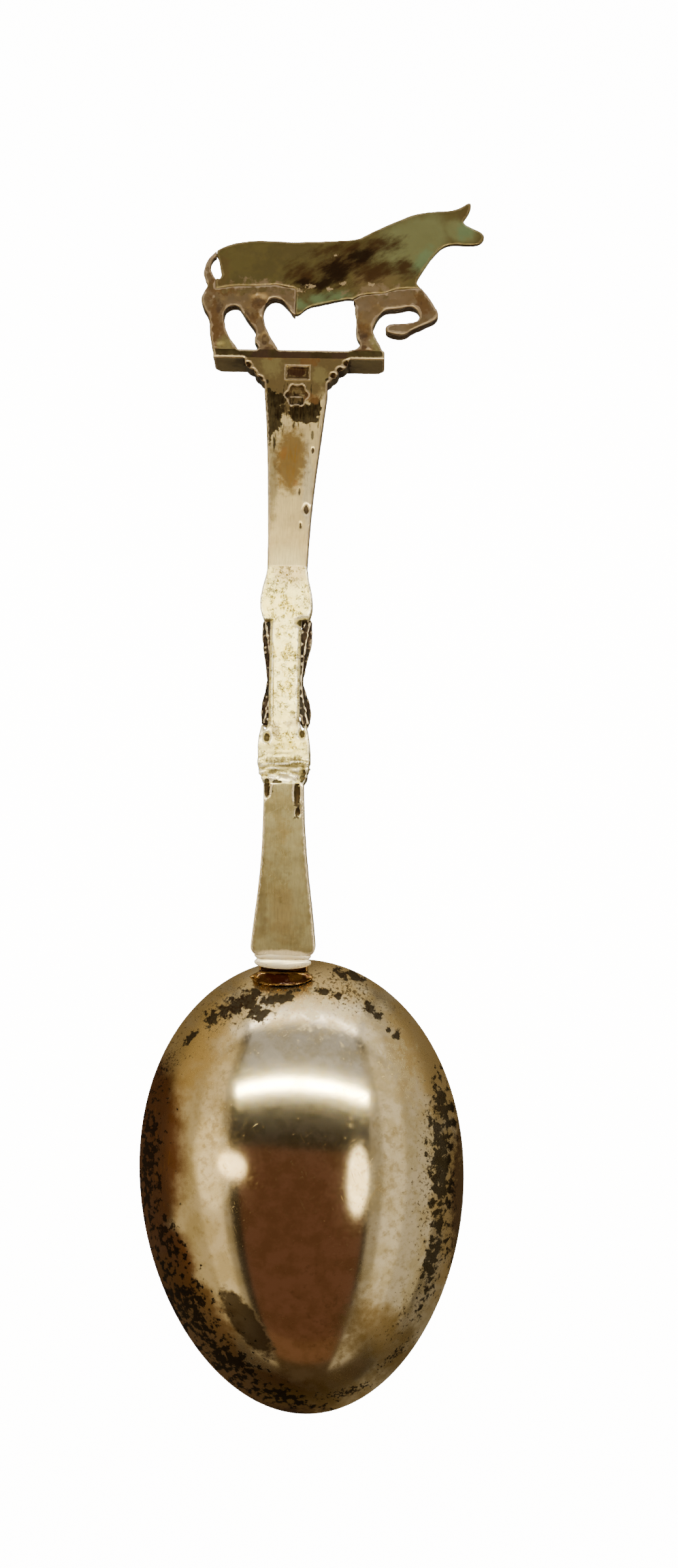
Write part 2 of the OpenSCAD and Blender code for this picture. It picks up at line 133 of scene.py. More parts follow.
class SpoonColours(bpy.types.PropertyGroup):
    """Colours of the silver and of what has settled on it."""
    silver: tint("Silver", "Clean polished silver of the bowl", "#e9dfc8")
    # knop silver: pale yellow tone brightened towards white as a painted highlight
    knop: tint("Knop", "Bright cast silver of the knop", "#fdf0a2")
    stem: tint("Stem", "Satin silver of the lower stem", "#b2ad8c")
    # near-white of the rolls: silver rubbed by handling, brightened as a painted highlight
    rubbed: tint("Rubbed", "Silver rubbed clean by handling", "#fff3d8")
    upper: tint("Upper stem", "Pale beige silver of the upper stem", "#dfce9f")
    cast: tint("Cast legs", "Pinkish grey cast silver", "#695b48")
    sheet: tint("Sheet", "Olive toned sheet silver", "#59522f")
    # dark amber of the neck: solder tone, darkened as painted shade of the hollow below the foot
    solder: tint("Solder", "Amber solder of the neck", "#3a2210")
    # near-black of the ornament: oxidised silver, darkened as painted shade of the gap by the knop
    black: tint("Sulphide", "Black-brown silver sulphide", "#120a05")


# ---- Making and finishing pieces ----
def link(mesh, name):
    """Puts a mesh in the scene as an object at the origin."""
    piece = bpy.data.objects.new(name, mesh)
    bpy.context.scene.collection.objects.link(piece)
    return piece


def plain_mesh(piece):
    """The piece's mesh with its modifiers worked in, as a new mesh; the old object goes."""
    bpy.context.view_layer.update()
    ready = piece.evaluated_get(bpy.context.evaluated_depsgraph_get())
    mesh = bpy.data.meshes.new_from_object(ready)
    bpy.data.objects.remove(piece)
    return mesh


def welded(nodes):
    """One mesh of the CAD nodes' copies, with their loose triangles joined, in millimetres."""
    whole = bmesh.new()
    for node in nodes:
        part = bmesh.new()
        part.from_mesh(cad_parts[node].data)
        bmesh.ops.scale(part, vec=(1 / MM,) * 3, verts=part.verts)
        bmesh.ops.remove_doubles(part, verts=part.verts, dist=0.002)
        mesh = bpy.data.meshes.new(node)
        part.to_mesh(mesh)
        part.free()
        whole.from_mesh(mesh)
        bpy.data.meshes.remove(mesh)
    mesh = bpy.data.meshes.new("+".join(nodes)[:40])
    whole.to_mesh(mesh)
    whole.free()
    return mesh


def recast(mesh, grain, rounding):
    """The same solid as one even skin of small faces, its edges rounded as casting does."""
    piece = link(mesh, "casting")
    remesh = piece.modifiers.new("Even skin", "REMESH")
    remesh.mode = "VOXEL"
    remesh.voxel_size = grain
    smooth = piece.modifiers.new("Rounding", "SMOOTH")
    smooth.factor = 0.5
    smooth.iterations = rounding
    mesh = plain_mesh(piece)
    place, facing = points(mesh)
    move_points(mesh, place + facing * 0.012 * rounding)
    return mesh


def points(mesh):
    """Positions and normals of a mesh's points."""
    place = np.empty(len(mesh.vertices) * 3, np.float32)
    facing = np.empty(len(mesh.vertices) * 3, np.float32)
    mesh.vertices.foreach_get("co", place)
    mesh.vertex_normals.foreach_get("vector", facing)
    return place.reshape(-1, 3).astype(float), facing.reshape(-1, 3).astype(float)


def move_points(mesh, place):
    """Writes new positions to a mesh's points."""
    mesh.vertices.foreach_set("co", place.astype(np.float32).ravel())
    mesh.update()


def lumps(place, across, seed):
    """Smooth random heights from -1 to 1, the given millimetres apart (one size, or x, y, z)."""
    table = np.random.default_rng(seed).uniform(-1, 1, 4093)
    at = place / np.array(across)
    cell = np.floor(at).astype(np.int64)
    ease = at - cell
    ease = ease * ease * (3 - 2 * ease)
    total = np.zeros(len(place))
    for corner in range(8):
        step = np.array([corner & 1, corner >> 1 & 1, corner >> 2 & 1])
        key = (cell + step) @ np.array([73856093, 19349663, 83492791])
        share = np.where(step, ease, 1 - ease).prod(axis=1)
        total += table[key % 4093] * share
    return total


BOW = ((-14, 0), (-10, -0.05), (-3, -0.22), (4, -0.38), (12, -0.5), (20, -0.5), (24, -0.48),
       (28, -0.48), (32, -0.42), (37.5, -0.32), (43, -0.15), (47, -0.04), (52, 0))


def bowed(place):
    """Bends the handle a little to the left at its knop, as long use has done."""
    stations, shifts = zip(*BOW)
    place[:, 0] += np.interp(place[:, 1], stations, shifts)
    return place


def pressed(place, facing, dents, side=1):
    """Moves points on the back (side 1) or front (-1) in by soft oval dents: x from the stem's
    centre line, y, rx, ry, depth."""
    for x, y, rx, ry, depth in dents:
        far = ((place[:, 0] - STEM_X - x) / rx) ** 2 + ((place[:, 1] - y) / ry) ** 2
        amount = depth * np.exp(-1.2 * far ** 1.5) * (facing[:, 2] * side > 0.3)
        place[:, 2] -= side * amount
    return place


def rounded_front(bar, upright, chosen, reach, least):
    """Rounds a front over its edges: the chosen points lose depth, down to the least share of it
    beside the upright walls and none further in than the reach."""
    wall = KDTree(int(upright.sum()))
    for i in np.flatnonzero(upright):
        wall.insert((bar[i, 0], bar[i, 1], 0), int(i))
    wall.balance()
    for i in np.flatnonzero(chosen):
        inward = min(1.0, wall.find((bar[i, 0], bar[i, 1], 0))[2] / reach)
        bar[i, 2] *= least + (1 - least) * math.sqrt(1 - (1 - inward) ** 2)


def softened(mesh, place, times):
    """The points' places, evened out with those of their neighbours a number of times."""
    ends = np.empty(len(mesh.edges) * 2, np.int64)
    mesh.edges.foreach_get("vertices", ends)
    a, b = ends.reshape(-1, 2).T
    near = np.bincount(np.r_[a, b], minlength=len(place))[:, None]
    soft = place.copy()
    for _ in range(times):
        mean = np.stack([np.bincount(np.r_[a, b], np.r_[soft[b, k], soft[a, k]], len(place))
                         for k in range(3)], axis=1) / near
        soft = (soft + mean) / 2
    return soft


def note_wear_and_side_shade(mesh):
    """Stores how far each point stands out of, or lies in, the softened shape round it, and
    which points are on the upright side faces, which the finishes paint darker, partly as
    tarnish and partly as painted shade."""
    place, facing = points(mesh)
    out = ((place - softened(mesh, place, 9)) * facing).sum(axis=1)
    for name, values in (("worn", out / 0.035), ("sunk", -out / 0.035),
                         ("side", 1.3 - 1.8 * np.abs(facing[:, 2]))):
        values = np.clip(values, 0, 1).astype(np.float32)
        mesh.attributes.new(name, "FLOAT", "POINT").data.foreach_set("value", values)


def parted(mesh, cuts):
    """Cuts a closed mesh with planes (point, normal) and keeps the side each normal points away
    from; the cuts are closed with flat faces."""
    work = bmesh.new()
    work.from_mesh(mesh)
    for point, normal in cuts:
        cut = bmesh.ops.bisect_plane(work, geom=work.verts[:] + work.edges[:] + work.faces[:],
                                     dist=1e-5, plane_co=point, plane_no=normal, clear_outer=True)
        rims = [e for e in cut["geom_cut"] if isinstance(e, bmesh.types.BMEdge) and e.is_boundary]
        caps = bmesh.ops.holes_fill(work, edges=rims, sides=0)["faces"]
        for face in caps:
            for edge in face.edges:
                edge.smooth = False
    result = bpy.data.meshes.new("part")
    work.to_mesh(result)
    work.free()
    return result


def shown(mesh, name, material, nodes):
    """Brings a piece to metres, gives it its material, shades it, hangs it under the root body
    and hides the CAD nodes it stands for.
    """
    mesh.transform(Matrix.Scale(MM, 4))
    mesh.materials.clear()
    mesh.materials.append(material)
    mesh.shade_smooth()
    piece = link(mesh, name)
    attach(piece, "root")
    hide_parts(*nodes)
    return piece


# ---- Node trees ----
MATH, RANGE, MIX = "ShaderNodeMath", "ShaderNodeMapRange", "ShaderNodeMix"
VECTOR, LINE, RING = ("ShaderNodeCombineXYZ", "GeometryNodeCurvePrimitiveLine",
                      "GeometryNodeCurvePrimitiveCircle")


def add(tree, kind, feeds=(), **settings):
    """Adds a node with its settings. Its inputs are fed by name from a dict, or in order from a
    tuple, with plain values, sockets, or other nodes, whose first output is taken."""
    node = tree.nodes.new(kind)
    for key, value in settings.items():
        setattr(node, key, value)
    for socket, value in (feeds.items() if isinstance(feeds, dict) else enumerate(feeds)):
        if isinstance(value, bpy.types.Node):
            value = value.outputs[0]
        if isinstance(value, bpy.types.NodeSocket):
            tree.links.new(value, node.inputs[socket])
        else:
            node.inputs[socket].default_value = value
    return node


def rule_tree(name, inputs, geometry_in=True):
    """A Geometry Nodes tree with named inputs, and its inputs' sockets by name."""
    tree = bpy.data.node_groups.new(name, "GeometryNodeTree")
    if geometry_in:
        inputs = [("Geometry", "Geometry"), *inputs]
    for label, kind in inputs:
        tree.interface.new_socket(label, in_out="INPUT", socket_type="NodeSocket" + kind)
    tree.interface.new_socket("Geometry", in_out="OUTPUT", socket_type="NodeSocketGeometry")
    given = add(tree, "NodeGroupInput").outputs
    return tree, {label: given[label] for label, _ in inputs}


def close_tree(tree, geometry, material):
    """Ends a tree: real faces, one material."""
    real = add(tree, "GeometryNodeRealizeInstances", (geometry,))
    coated = add(tree, "GeometryNodeSetMaterial", {"Geometry": real, "Material": material})
    add(tree, "NodeGroupOutput", (coated,))
    return tree


def grown(tree, values, base=None, bevel=0.0):
    """Runs a tree on a new object, its inputs set by their identifiers, and returns the mesh."""
    piece = link(base or bpy.data.meshes.new(tree.name), tree.name)
    rule = piece.modifiers.new(tree.name, "NODES")
    rule.node_group = tree
    for item in tree.interface.items_tree:
        if item.in_out == "INPUT" and item.name in values:
            rule[item.identifier] = values[item.name]
    if bevel:
        edge = piece.modifiers.new("Worn edge", "BEVEL")
        edge.width = bevel
        edge.segments = 4
        edge.limit_method = "ANGLE"
        edge.angle_limit = math.radians(40)
    return plain_mesh(piece)


# ---- Finishes ----
def patch(places, colour, rough=0.5, metal=1.0, body=1.0, ragged=1.0, soft=0.3, strength=1.0,
          grain="middle", half=1.0):
    """A stain: oval places (x from the stem's centre line, y, rx, ry, and perhaps a turn in
    degrees) in millimetres, and what it looks like. A low body with much raggedness breaks it
    into specks, which cover half of the skin at the given share of the oval's radius."""
    return dict(places=places, colour=colour, rough=rough, metal=metal, body=body, ragged=ragged,
                soft=soft, strength=strength, grain=grain, half=half)


GRAINS = {  # millimetres across, detail, how often as long, turn in degrees, roughness of noise
    "coarse": (2.6, 5, 1, 0, 0.6), "middle": (0.95, 6, 1, 0, 0.6), "fine": (0.38, 5, 1, 0, 0.6),
    "rubbed": (0.3, 5, 9, 0, 0.6), "slanting": (0.9, 6, 2.6, -58, 0.6),
    "wide cracks": (1.3, 5, 1, 0, 0.7), "fine cracks": (0.7, 4, 1, 0, 0.7),
    # brush strokes are drawn twice as wide as real ones, and scratches three times, to show
    "strokes": (0.16, 4, 22, 0, 0.6),
    "scratches": (0.11, 2, 33, 24, 0.6), "cross scratches": (0.14, 2, 33, -58, 0.6)}
DARK_CRACK, BRUSHED_GREY = "#655a2e", "#5f5236"
WEAR_SHINE = {"side": 0.45, "worn": 0.24, "sunk": 0.6}      # roughness of each kind of wear, and of the side faces' tarnish and painted shade


def silver_skin(name, colour, second, rough, metal, patches, worn="#e6d9c6", worn_share=0.8,
                sunk="#1d1208", sunk_share=0.8, side="#2c1e0e", side_tarnish_and_shade_share=0.0, bump=0.012,
                cracks=0.0, brushed=0.0, scratches=0.3):
    """Old silver: two tones, stains laid over them in turn, bright worn edges, dark hollows,
    upright sides painted darker as tarnish and painted shade, fine scratches, and a skin that
    may be crackled or brushed along the spoon."""
    material = bpy.data.materials.new(name)
    material.use_nodes = True
    tree = material.node_tree
    tree.nodes.clear()
    where = add(tree, "ShaderNodeTexCoord").outputs["Object"]
    smooth = {"interpolation_type": "SMOOTHSTEP"}

    crackle = {"wide cracks": 0.02, "fine cracks": 0.03} if cracks else {}      # half widths
    scored = ["scratches", "cross scratches"] if scratches else []
    grains = {}
    for key in ["coarse", "middle", "fine", *crackle, *scored, *(["strokes"] if brushed else []),
                *sorted({stain["grain"] for stain in patches} - {"coarse", "middle", "fine"})]:
        across, detail, longer, turn, roughness = GRAINS[key]
        laid = add(tree, "ShaderNodeMapping", {
            "Vector": where, "Rotation": (0, 0, math.radians(turn)),
            "Scale": (across * MM, across * MM * longer, across * MM)}, vector_type="TEXTURE")
        grains[key] = add(tree, "ShaderNodeTexNoise", {
            "Vector": laid, "Scale": 1.0, "Detail": detail, "Roughness": roughness})
    skin = {"tone": colour, "metal": metal, "rough": add(
        tree, MATH, (grains["fine"], rough * 0.5, rough * 0.75), operation="MULTIPLY_ADD")}

    def coat(share, tone=None, **others):
        """Lays a colour, a roughness and a share of metal over what is there."""
        if tone:
            skin["tone"] = add(tree, MIX, {0: share, 6: skin["tone"], 7: linear(tone)},
                               data_type="RGBA").outputs[2]
        for key, value in others.items():
            skin[key] = add(tree, MIX, {0: share, 2: skin[key], 3: value})

    coat(add(tree, RANGE, (grains["coarse"], 0.38, 0.62), **smooth), second)
    for stain in patches:
        far = None
        for x, y, rx, ry, *turn in stain["places"]:
            laid = add(tree, "ShaderNodeMapping", {
                "Vector": where, "Location": ((STEM_X + x) * MM, y * MM, 0),
                "Rotation": (0, 0, math.radians(sum(turn))), "Scale": (rx * MM, ry * MM, 1)},
                vector_type="TEXTURE")
            reach = add(tree, "ShaderNodeVectorMath", (laid,), operation="LENGTH").outputs["Value"]
            far = add(tree, MATH, (far, reach), operation="MINIMUM") if far else reach
        inside = add(tree, MATH, (far, -stain["body"], stain["body"] * stain["half"]
                                  - stain["ragged"] / 2), operation="MULTIPLY_ADD")
        broken = add(tree, MATH, (grains[stain["grain"]], stain["ragged"], inside),
                     operation="MULTIPLY_ADD")
        share = add(tree, RANGE, (broken, 0.0, stain["soft"], 0.0, stain["strength"]), **smooth)
        others = {key: stain[key] for key in ("rough", "metal")}
        if stain["metal"] == metal:
            del others["metal"]
        coat(share, stain["colour"], **others)

    # the side attribute darkens upright faces: partly tarnish, partly painted shade
    for attribute, code, share in (("side", side, side_tarnish_and_shade_share), ("worn", worn, worn_share),
                                   ("sunk", sunk, sunk_share)):
        if share:
            there = add(tree, "ShaderNodeAttribute", attribute_name=attribute).outputs["Fac"]
            broken = add(tree, MATH, (grains["fine"], 0.9, -0.45), operation="MULTIPLY_ADD")
            broken = add(tree, MATH, (there, broken), operation="ADD")
            coat(add(tree, RANGE, (broken, 0.3, 0.85, 0.0, share), **smooth), code,
                 rough=WEAR_SHINE[attribute])

    height = add(tree, MATH, (grains["middle"], 0.6), operation="MULTIPLY")
    height = add(tree, MATH, (grains["fine"], 0.4, height), operation="MULTIPLY_ADD")
    for key, wide in crackle.items():
        off = add(tree, MATH, (grains[key], 0.5), operation="SUBTRACT")
        off = add(tree, MATH, (off,), operation="ABSOLUTE")
        line = add(tree, MATH, (
            add(tree, RANGE, (off, wide, 0.0), **smooth),
            add(tree, RANGE, (grains["middle"], 0.42, 0.6, 0.0, cracks), **smooth)),
            operation="MULTIPLY")
        coat(line, DARK_CRACK)
        height = add(tree, MATH, (line, -0.5, height), operation="MULTIPLY_ADD")
    if brushed:
        share = add(tree, RANGE, (grains["strokes"], 0.35, 0.7, 0.0, brushed), **smooth)
        coat(share, BRUSHED_GREY)
        height = add(tree, MATH, (grains["strokes"], 0.5, height), operation="MULTIPLY_ADD")
    for key in scored:
        stroke = add(tree, MATH, (
            add(tree, RANGE, (grains[key], 0.66, 0.72), **smooth),
            add(tree, RANGE, (grains["coarse"], 0.46, 0.56, 0.0, scratches), **smooth)),
            operation="MULTIPLY")
        height = add(tree, MATH, (stroke, -1.0, height), operation="MULTIPLY_ADD")
        coat(stroke, rough=min(1.0, rough + 0.25))

    relief = add(tree, "ShaderNodeBump", {"Height": height, "Strength": 1.0,
                                          "Distance": bump * MM})
    shader = add(tree, "ShaderNodeBsdfPrincipled", {
        "Base Color": skin["tone"], "Roughness": skin["rough"], "Metallic": skin["metal"],
        "Normal": relief})
    add(tree, "ShaderNodeOutputMaterial", {"Surface": shader})
    return material


# ---- The bowl ----
def skin_group():
    """A node group that lays a grid on an egg-shaped dome from its crown to its rim."""
    tree, value = rule_tree("Egg skin", [
        (n, "Float") for n in ("Half width", "Half length", "Height", "Egg", "Bulge")]
        + [("Rings", "Int"), ("Spokes", "Int")], geometry_in=False)
    grid = add(tree, "GeometryNodeMeshGrid", {
        "Size X": 1.0, "Size Y": 1.0,
        "Vertices X": add(tree, MATH, (value["Spokes"], 1), operation="ADD"),
        "Vertices Y": add(tree, MATH, (value["Rings"], 1), operation="ADD")})
    flat = add(tree, "ShaderNodeSeparateXYZ", (add(tree, "GeometryNodeInputPosition"),)).outputs
    value.update(u=flat["X"], v=flat["Y"])
    for name, operation, *feeds in (
            ("turn", "MULTIPLY_ADD", "u", 2 * math.pi, math.pi),
            ("ring", "MULTIPLY_ADD", "v", math.pi / 2, math.pi / 4),
            ("reach", "SINE", "ring"),
            ("cosine", "COSINE", "turn"), ("across", "MULTIPLY", "reach", "cosine"),
            ("sine", "SINE", "turn"), ("along", "MULTIPLY", "reach", "sine"),
            ("full", "MULTIPLY_ADD", "along", "Egg", 1.0),
            ("swollen", "MULTIPLY", "across", "full"),
            ("x", "MULTIPLY", "swollen", "Half width"),
            ("y", "MULTIPLY", "along", "Half length"),
            ("rest", "SUBTRACT", 1.0, "Bulge"), ("rim", "SQRT", "rest"),
            ("square", "MULTIPLY", "reach", "reach"), ("part", "MULTIPLY", "square", "Bulge"),
            ("left", "SUBTRACT", 1.0, "part"), ("dome", "SQRT", "left"),
            ("rise", "SUBTRACT", "dome", "rim"), ("room", "SUBTRACT", 1.0, "rim"),
            ("share", "DIVIDE", "rise", "room"), ("z", "MULTIPLY", "share", "Height")):
        value[name] = add(tree, MATH, tuple(value.get(f, f) for f in feeds), operation=operation)
    place = add(tree, VECTOR, (value["x"], value["y"], value["z"]))
    dome = add(tree, "GeometryNodeSetPosition", {"Geometry": grid, "Position": place})
    add(tree, "NodeGroupOutput", (dome,))
    return tree


def bowl_tree(material):
    """Outer skin, inner skin and the lip between them, as one closed shell."""
    tree, given = rule_tree("Spoon bowl", [
        (n, "Float") for n in ("Half width", "Half length", "Height", "Egg", "Bulge", "Lip",
                               "Wall")] + [("Rings", "Int"), ("Spokes", "Int")])
    skin = skin_group()
    outer, inner = [add(tree, "GeometryNodeGroup", {
        **{n: given[n] for n in ("Egg", "Bulge", "Rings", "Spokes")},
        **{n: add(tree, MATH, (given[n], less), operation="SUBTRACT") for n, less in (
            ("Half width", lip), ("Half length", lip), ("Height", wall))}}, node_tree=skin)
        for lip, wall in ((0.0, 0.0), (given["Lip"], given["Wall"]))]
    # the lip: the inner rim's edge, drawn out to the outer rim
    at = add(tree, "ShaderNodeSeparateXYZ", (add(tree, "GeometryNodeInputPosition"),)).outputs
    at_rim = add(tree, "FunctionNodeCompare", (at["Z"], 1e-6), operation="LESS_THAN",
                 data_type="FLOAT")
    drawn = add(tree, "GeometryNodeExtrudeMesh", {
        "Mesh": inner, "Selection": at_rim, "Offset Scale": 0.0}, mode="EDGES")
    wider = []
    for axis, name in (("X", "Half width"), ("Y", "Half length")):
        less = add(tree, MATH, (given[name], given["Lip"]), operation="SUBTRACT")
        ratio = add(tree, MATH, (given[name], less), operation="DIVIDE")
        wider.append(add(tree, MATH, (at[axis], ratio), operation="MULTIPLY"))
    lip = add(tree, "GeometryNodeSetPosition", {
        "Geometry": drawn, "Selection": drawn.outputs["Top"],
        "Position": add(tree, VECTOR, (*wider, 0.0))})
    back = add(tree, "GeometryNodeFlipFaces", {"Mesh": outer})
    both = add(tree, "GeometryNodeJoinGeometry", (back,))
    tree.links.new(lip.outputs[0], both.inputs[0])
    shell = add(tree, "GeometryNodeMergeByDistance", {"Geometry": both, "Distance": 2e-6})
    return close_tree(tree, shell, material)


def bowl_finish(colours):
    """Polished silver: a warm mirror with fine scratches, a cloudy film and a painted highlight
    near the neck. Sulphide has bitten a speckled black-brown band along the rim, over a golden
    film; the amber-brown on the left and the dark brown round the rim and low down are partly
    tarnish and partly painted reflection of the dim room near the horizon."""
    black = dict(rough=0.5, metal=0.9)
    return silver_skin(
        "Polished silver with sulphide specks", tuple(colours.silver), "#d3c7a6", 0.12, 1.0, [
            # golden film round the rim, grey cloudy film on the flanks, and a pale painted
            # highlight near the neck and on the right shoulder
            patch([(2.85, -22, 19, 9), (18.85, -33, 6, 16, 28), (-12.15, -32, 6, 16, -28),
                   (5.85, -77, 20, 7), (22.35, -52, 5, 20)], "#cdb37c", 0.28, body=1.2,
                  ragged=1.6, soft=0.9, strength=0.8, grain="coarse"),
            patch([(14, -48, 5, 19, 6), (-7.6, -42, 3, 14, -4), (10, -66, 6, 9, 30)], "#a5946a",
                  0.22, body=0.5, ragged=3.6, soft=0.9, strength=0.65, half=0.8),
            # painted highlight: the bright arc near the neck and a streak on the right shoulder
            patch([(6, -27, 8, 3.6, -10), (14.6, -33, 2.6, 7, 24)], "#e2d5ae", 0.3, body=0.6,
                  ragged=3.4, soft=0.6, strength=0.8, half=0.8),
            # amber film on the left flank and brown low down: partly tarnish, partly painted
            # reflection of the dim room near the horizon
            patch([(-18.2, -45, 8, 17), (-14.4, -58, 5.4, 7, 26)], "#6c3d1c", 0.24, body=2.4,
                  ragged=0.8, soft=0.8, strength=0.92, grain="coarse"),
            patch([(-17, -48, 5, 17)], "#a5743a", 0.28, body=0.5, ragged=3.4, soft=0.8,
                  strength=0.55, grain="rubbed", half=0.4),
            patch([(-10.9, -65.5, 6.8, 12.5, 42), (-1.6, -74, 10, 4.6, -14)], "#765632", 0.33,
                  body=1.3, ragged=1.0, soft=0.5, strength=0.9, grain="coarse"),
            patch([(13.2, -66.5, 5.4, 9.5, 30), (5, -74, 8, 3)], "#8f7745", 0.3, body=1.2,
                  ragged=1.4, soft=0.9, strength=0.85, grain="coarse"),
            patch([(-3.3, -64.6, 2.0, 6.0, 37)], "#443626", 0.35, body=1.5, ragged=1.2, soft=0.5,
                  strength=0.9),
            # dark brown band round the rim: partly tarnish, partly painted reflection of the dark
            # horizon
            patch([(-20.4, -46, 3.6, 20), (-15.4, -66, 4.0, 12, 40), (-1.6, -77, 12, 2.4),
                   (22.6, -52, 2.2, 22, 2)], "#3a1f0e", 0.35, 0.8, body=1.2, ragged=1.8, soft=0.8,
                  strength=0.9),
            # black blotches near the neck and down the right shoulder
            patch([(-8.8, -28.1, 1.3, 0.9, 30), (-7.2, -27.3, 1.3, 1.0, 30),
                   (-5.7, -26.5, 1.5, 1.1, 20), (-4.2, -26.0, 1.3, 1.2),
                   (-2.9, -27.4, 1.5, 1.1, 10), (-1.4, -25.7, 1.4, 0.9),
                   (0.4, -25.3, 1.1, 0.7, 20), (1.1, -24.6, 0.9, 0.4, 20),
                   (-3.8, -25.0, 1.2, 0.6), (7.1, -22.4, 1.2, 0.6, -10),
                   (8.6, -22.5, 1.3, 0.6, -20), (5.1, -24.5, 0.9, 0.5), (6.6, -25.0, 0.8, 0.5),
                   (10.7, -26.4, 0.9, 0.7, -40), (11.7, -27.2, 0.9, 0.5, -40),
                   (14.3, -29.6, 0.5, 0.6, -40), (13.3, -29.0, 0.4, 0.4),
                   (-11.4, -30.6, 1.0, 0.5, 40)], "#1a1410", body=1.1, ragged=4.6, soft=0.6,
                  strength=0.95, half=1.2, **black),
            patch([(-6, -26.5, 7, 3.2, 20), (8, -24.5, 7, 2.6, -20), (-14.6, -34, 2.4, 4.6, -30)],
                  "#2a1b0d", body=0.6, ragged=4.6, soft=0.6, strength=0.85, grain="fine",
                  half=0.5, **black),
            # speckled bands
            patch([(19.9, -45.5, 1.5, 10, 2), (19.2, -57, 1.2, 6, -14),
                   (20.3, -38.5, 1.0, 4, 15)], "#17110a", body=0.9, ragged=4.4, soft=0.4,
                  strength=0.93, half=1.05, **black),
            patch([(18.6, -47, 2.6, 15), (16.4, -63, 2.4, 7, -26)], "#33261a", body=0.5,
                  ragged=4.6, soft=0.6, strength=0.82, grain="fine", half=0.2, **black),
            patch([(-16.4, -46.5, 2.6, 13), (-13.4, -56, 2.2, 6, 20)], "#150a04", body=0.7,
                  ragged=4.4, soft=0.4, strength=0.95, half=0.75, **black),
            patch([(-10.8, -63.5, 3.8, 8, 38), (-5.6, -70, 7.5, 3.2, -34),
                   (0.6, -73.8, 5, 1.9, -10)], "#130a05", body=0.8, ragged=4.4, soft=0.4,
                  strength=0.95, half=0.75, **black),
            patch([(9.3, -73.2, 4.5, 1.0, 16), (15, -68.5, 4, 0.8, 42)], "#1a0f07", body=0.9,
                  ragged=4.0, soft=0.35, strength=0.9, grain="fine", half=0.5, **black),
        ], worn_share=0.0, sunk_share=0.0, bump=0.0018, scratches=0.6)


class SPOON_OT_bowl(bpy.types.Operator):
    """Build the egg-shaped bowl from its rule"""
    bl_idname = "spoon.bowl"
    bl_label = "Bowl"

    def execute(self, context):
        sizes = context.scene.spoon_bowl
        material = bowl_finish(context.scene.spoon_colours)
        mesh = grown(bowl_tree(material), {
            "Half width": sizes.width / 2, "Half length": sizes.length / 2,
            "Height": sizes.height, "Egg": sizes.egg, "Bulge": sizes.bulge, "Lip": sizes.lip,
            "Wall": sizes.wall, "Rings": sizes.rings, "Spokes": sizes.spokes},
            bevel=sizes.rim_round)
        mesh.transform(Matrix.Scale(1 / MM, 4) @ Matrix.Rotation(sizes.turn, 4, "Z"))
        work = bmesh.new()
        work.from_mesh(mesh)
        bmesh.ops.remove_doubles(work, verts=work.verts, dist=0.001)
        bmesh.ops.recalc_face_normals(work, faces=work.faces)
        work.to_mesh(mesh)
        work.free()
        place, _ = points(mesh)
        middle = (place.min(axis=0) + place.max(axis=0)) / 2
        goal = (BOWL_LOW + BOWL_HIGH) / 2
        move_points(mesh, place + [goal[0] - middle[0], goal[1] - middle[1], 0])
        shown(mesh, "bowl_shell", material, ["bowl"])
        return {"FINISHED"}


# ---- Neck and foot roll ----
def solder_and_shade_finish(colours):
    """Amber-brown solder: lumpy and glassy, its dark tone partly painted shade of the hollow
    below the foot's end; darker red where it ran thick.
    """
    return silver_skin(
        "Tarnished solder with painted shade", tuple(colours.solder), "#54391a", 0.24, 0.75, [
            patch([(-0.35, -22.6, 2.6, 1.6), (-2.75, -21.6, 0.6, 1.4, -30)], "#2c0b03", 0.18, 0.4,
                  body=1.3, ragged=1.6, soft=0.5, strength=0.95),
            patch([(1.55, -22.4, 1.0, 1.1), (-4.05, -22.2, 0.9, 1.2)], "#6b5128", 0.25, 0.9,
                  body=1.2, ragged=1.4, soft=0.4, strength=0.9)],
        worn="#c9a566", worn_share=0.45, sunk="#1c0803", bump=0.03, scratches=0.0)


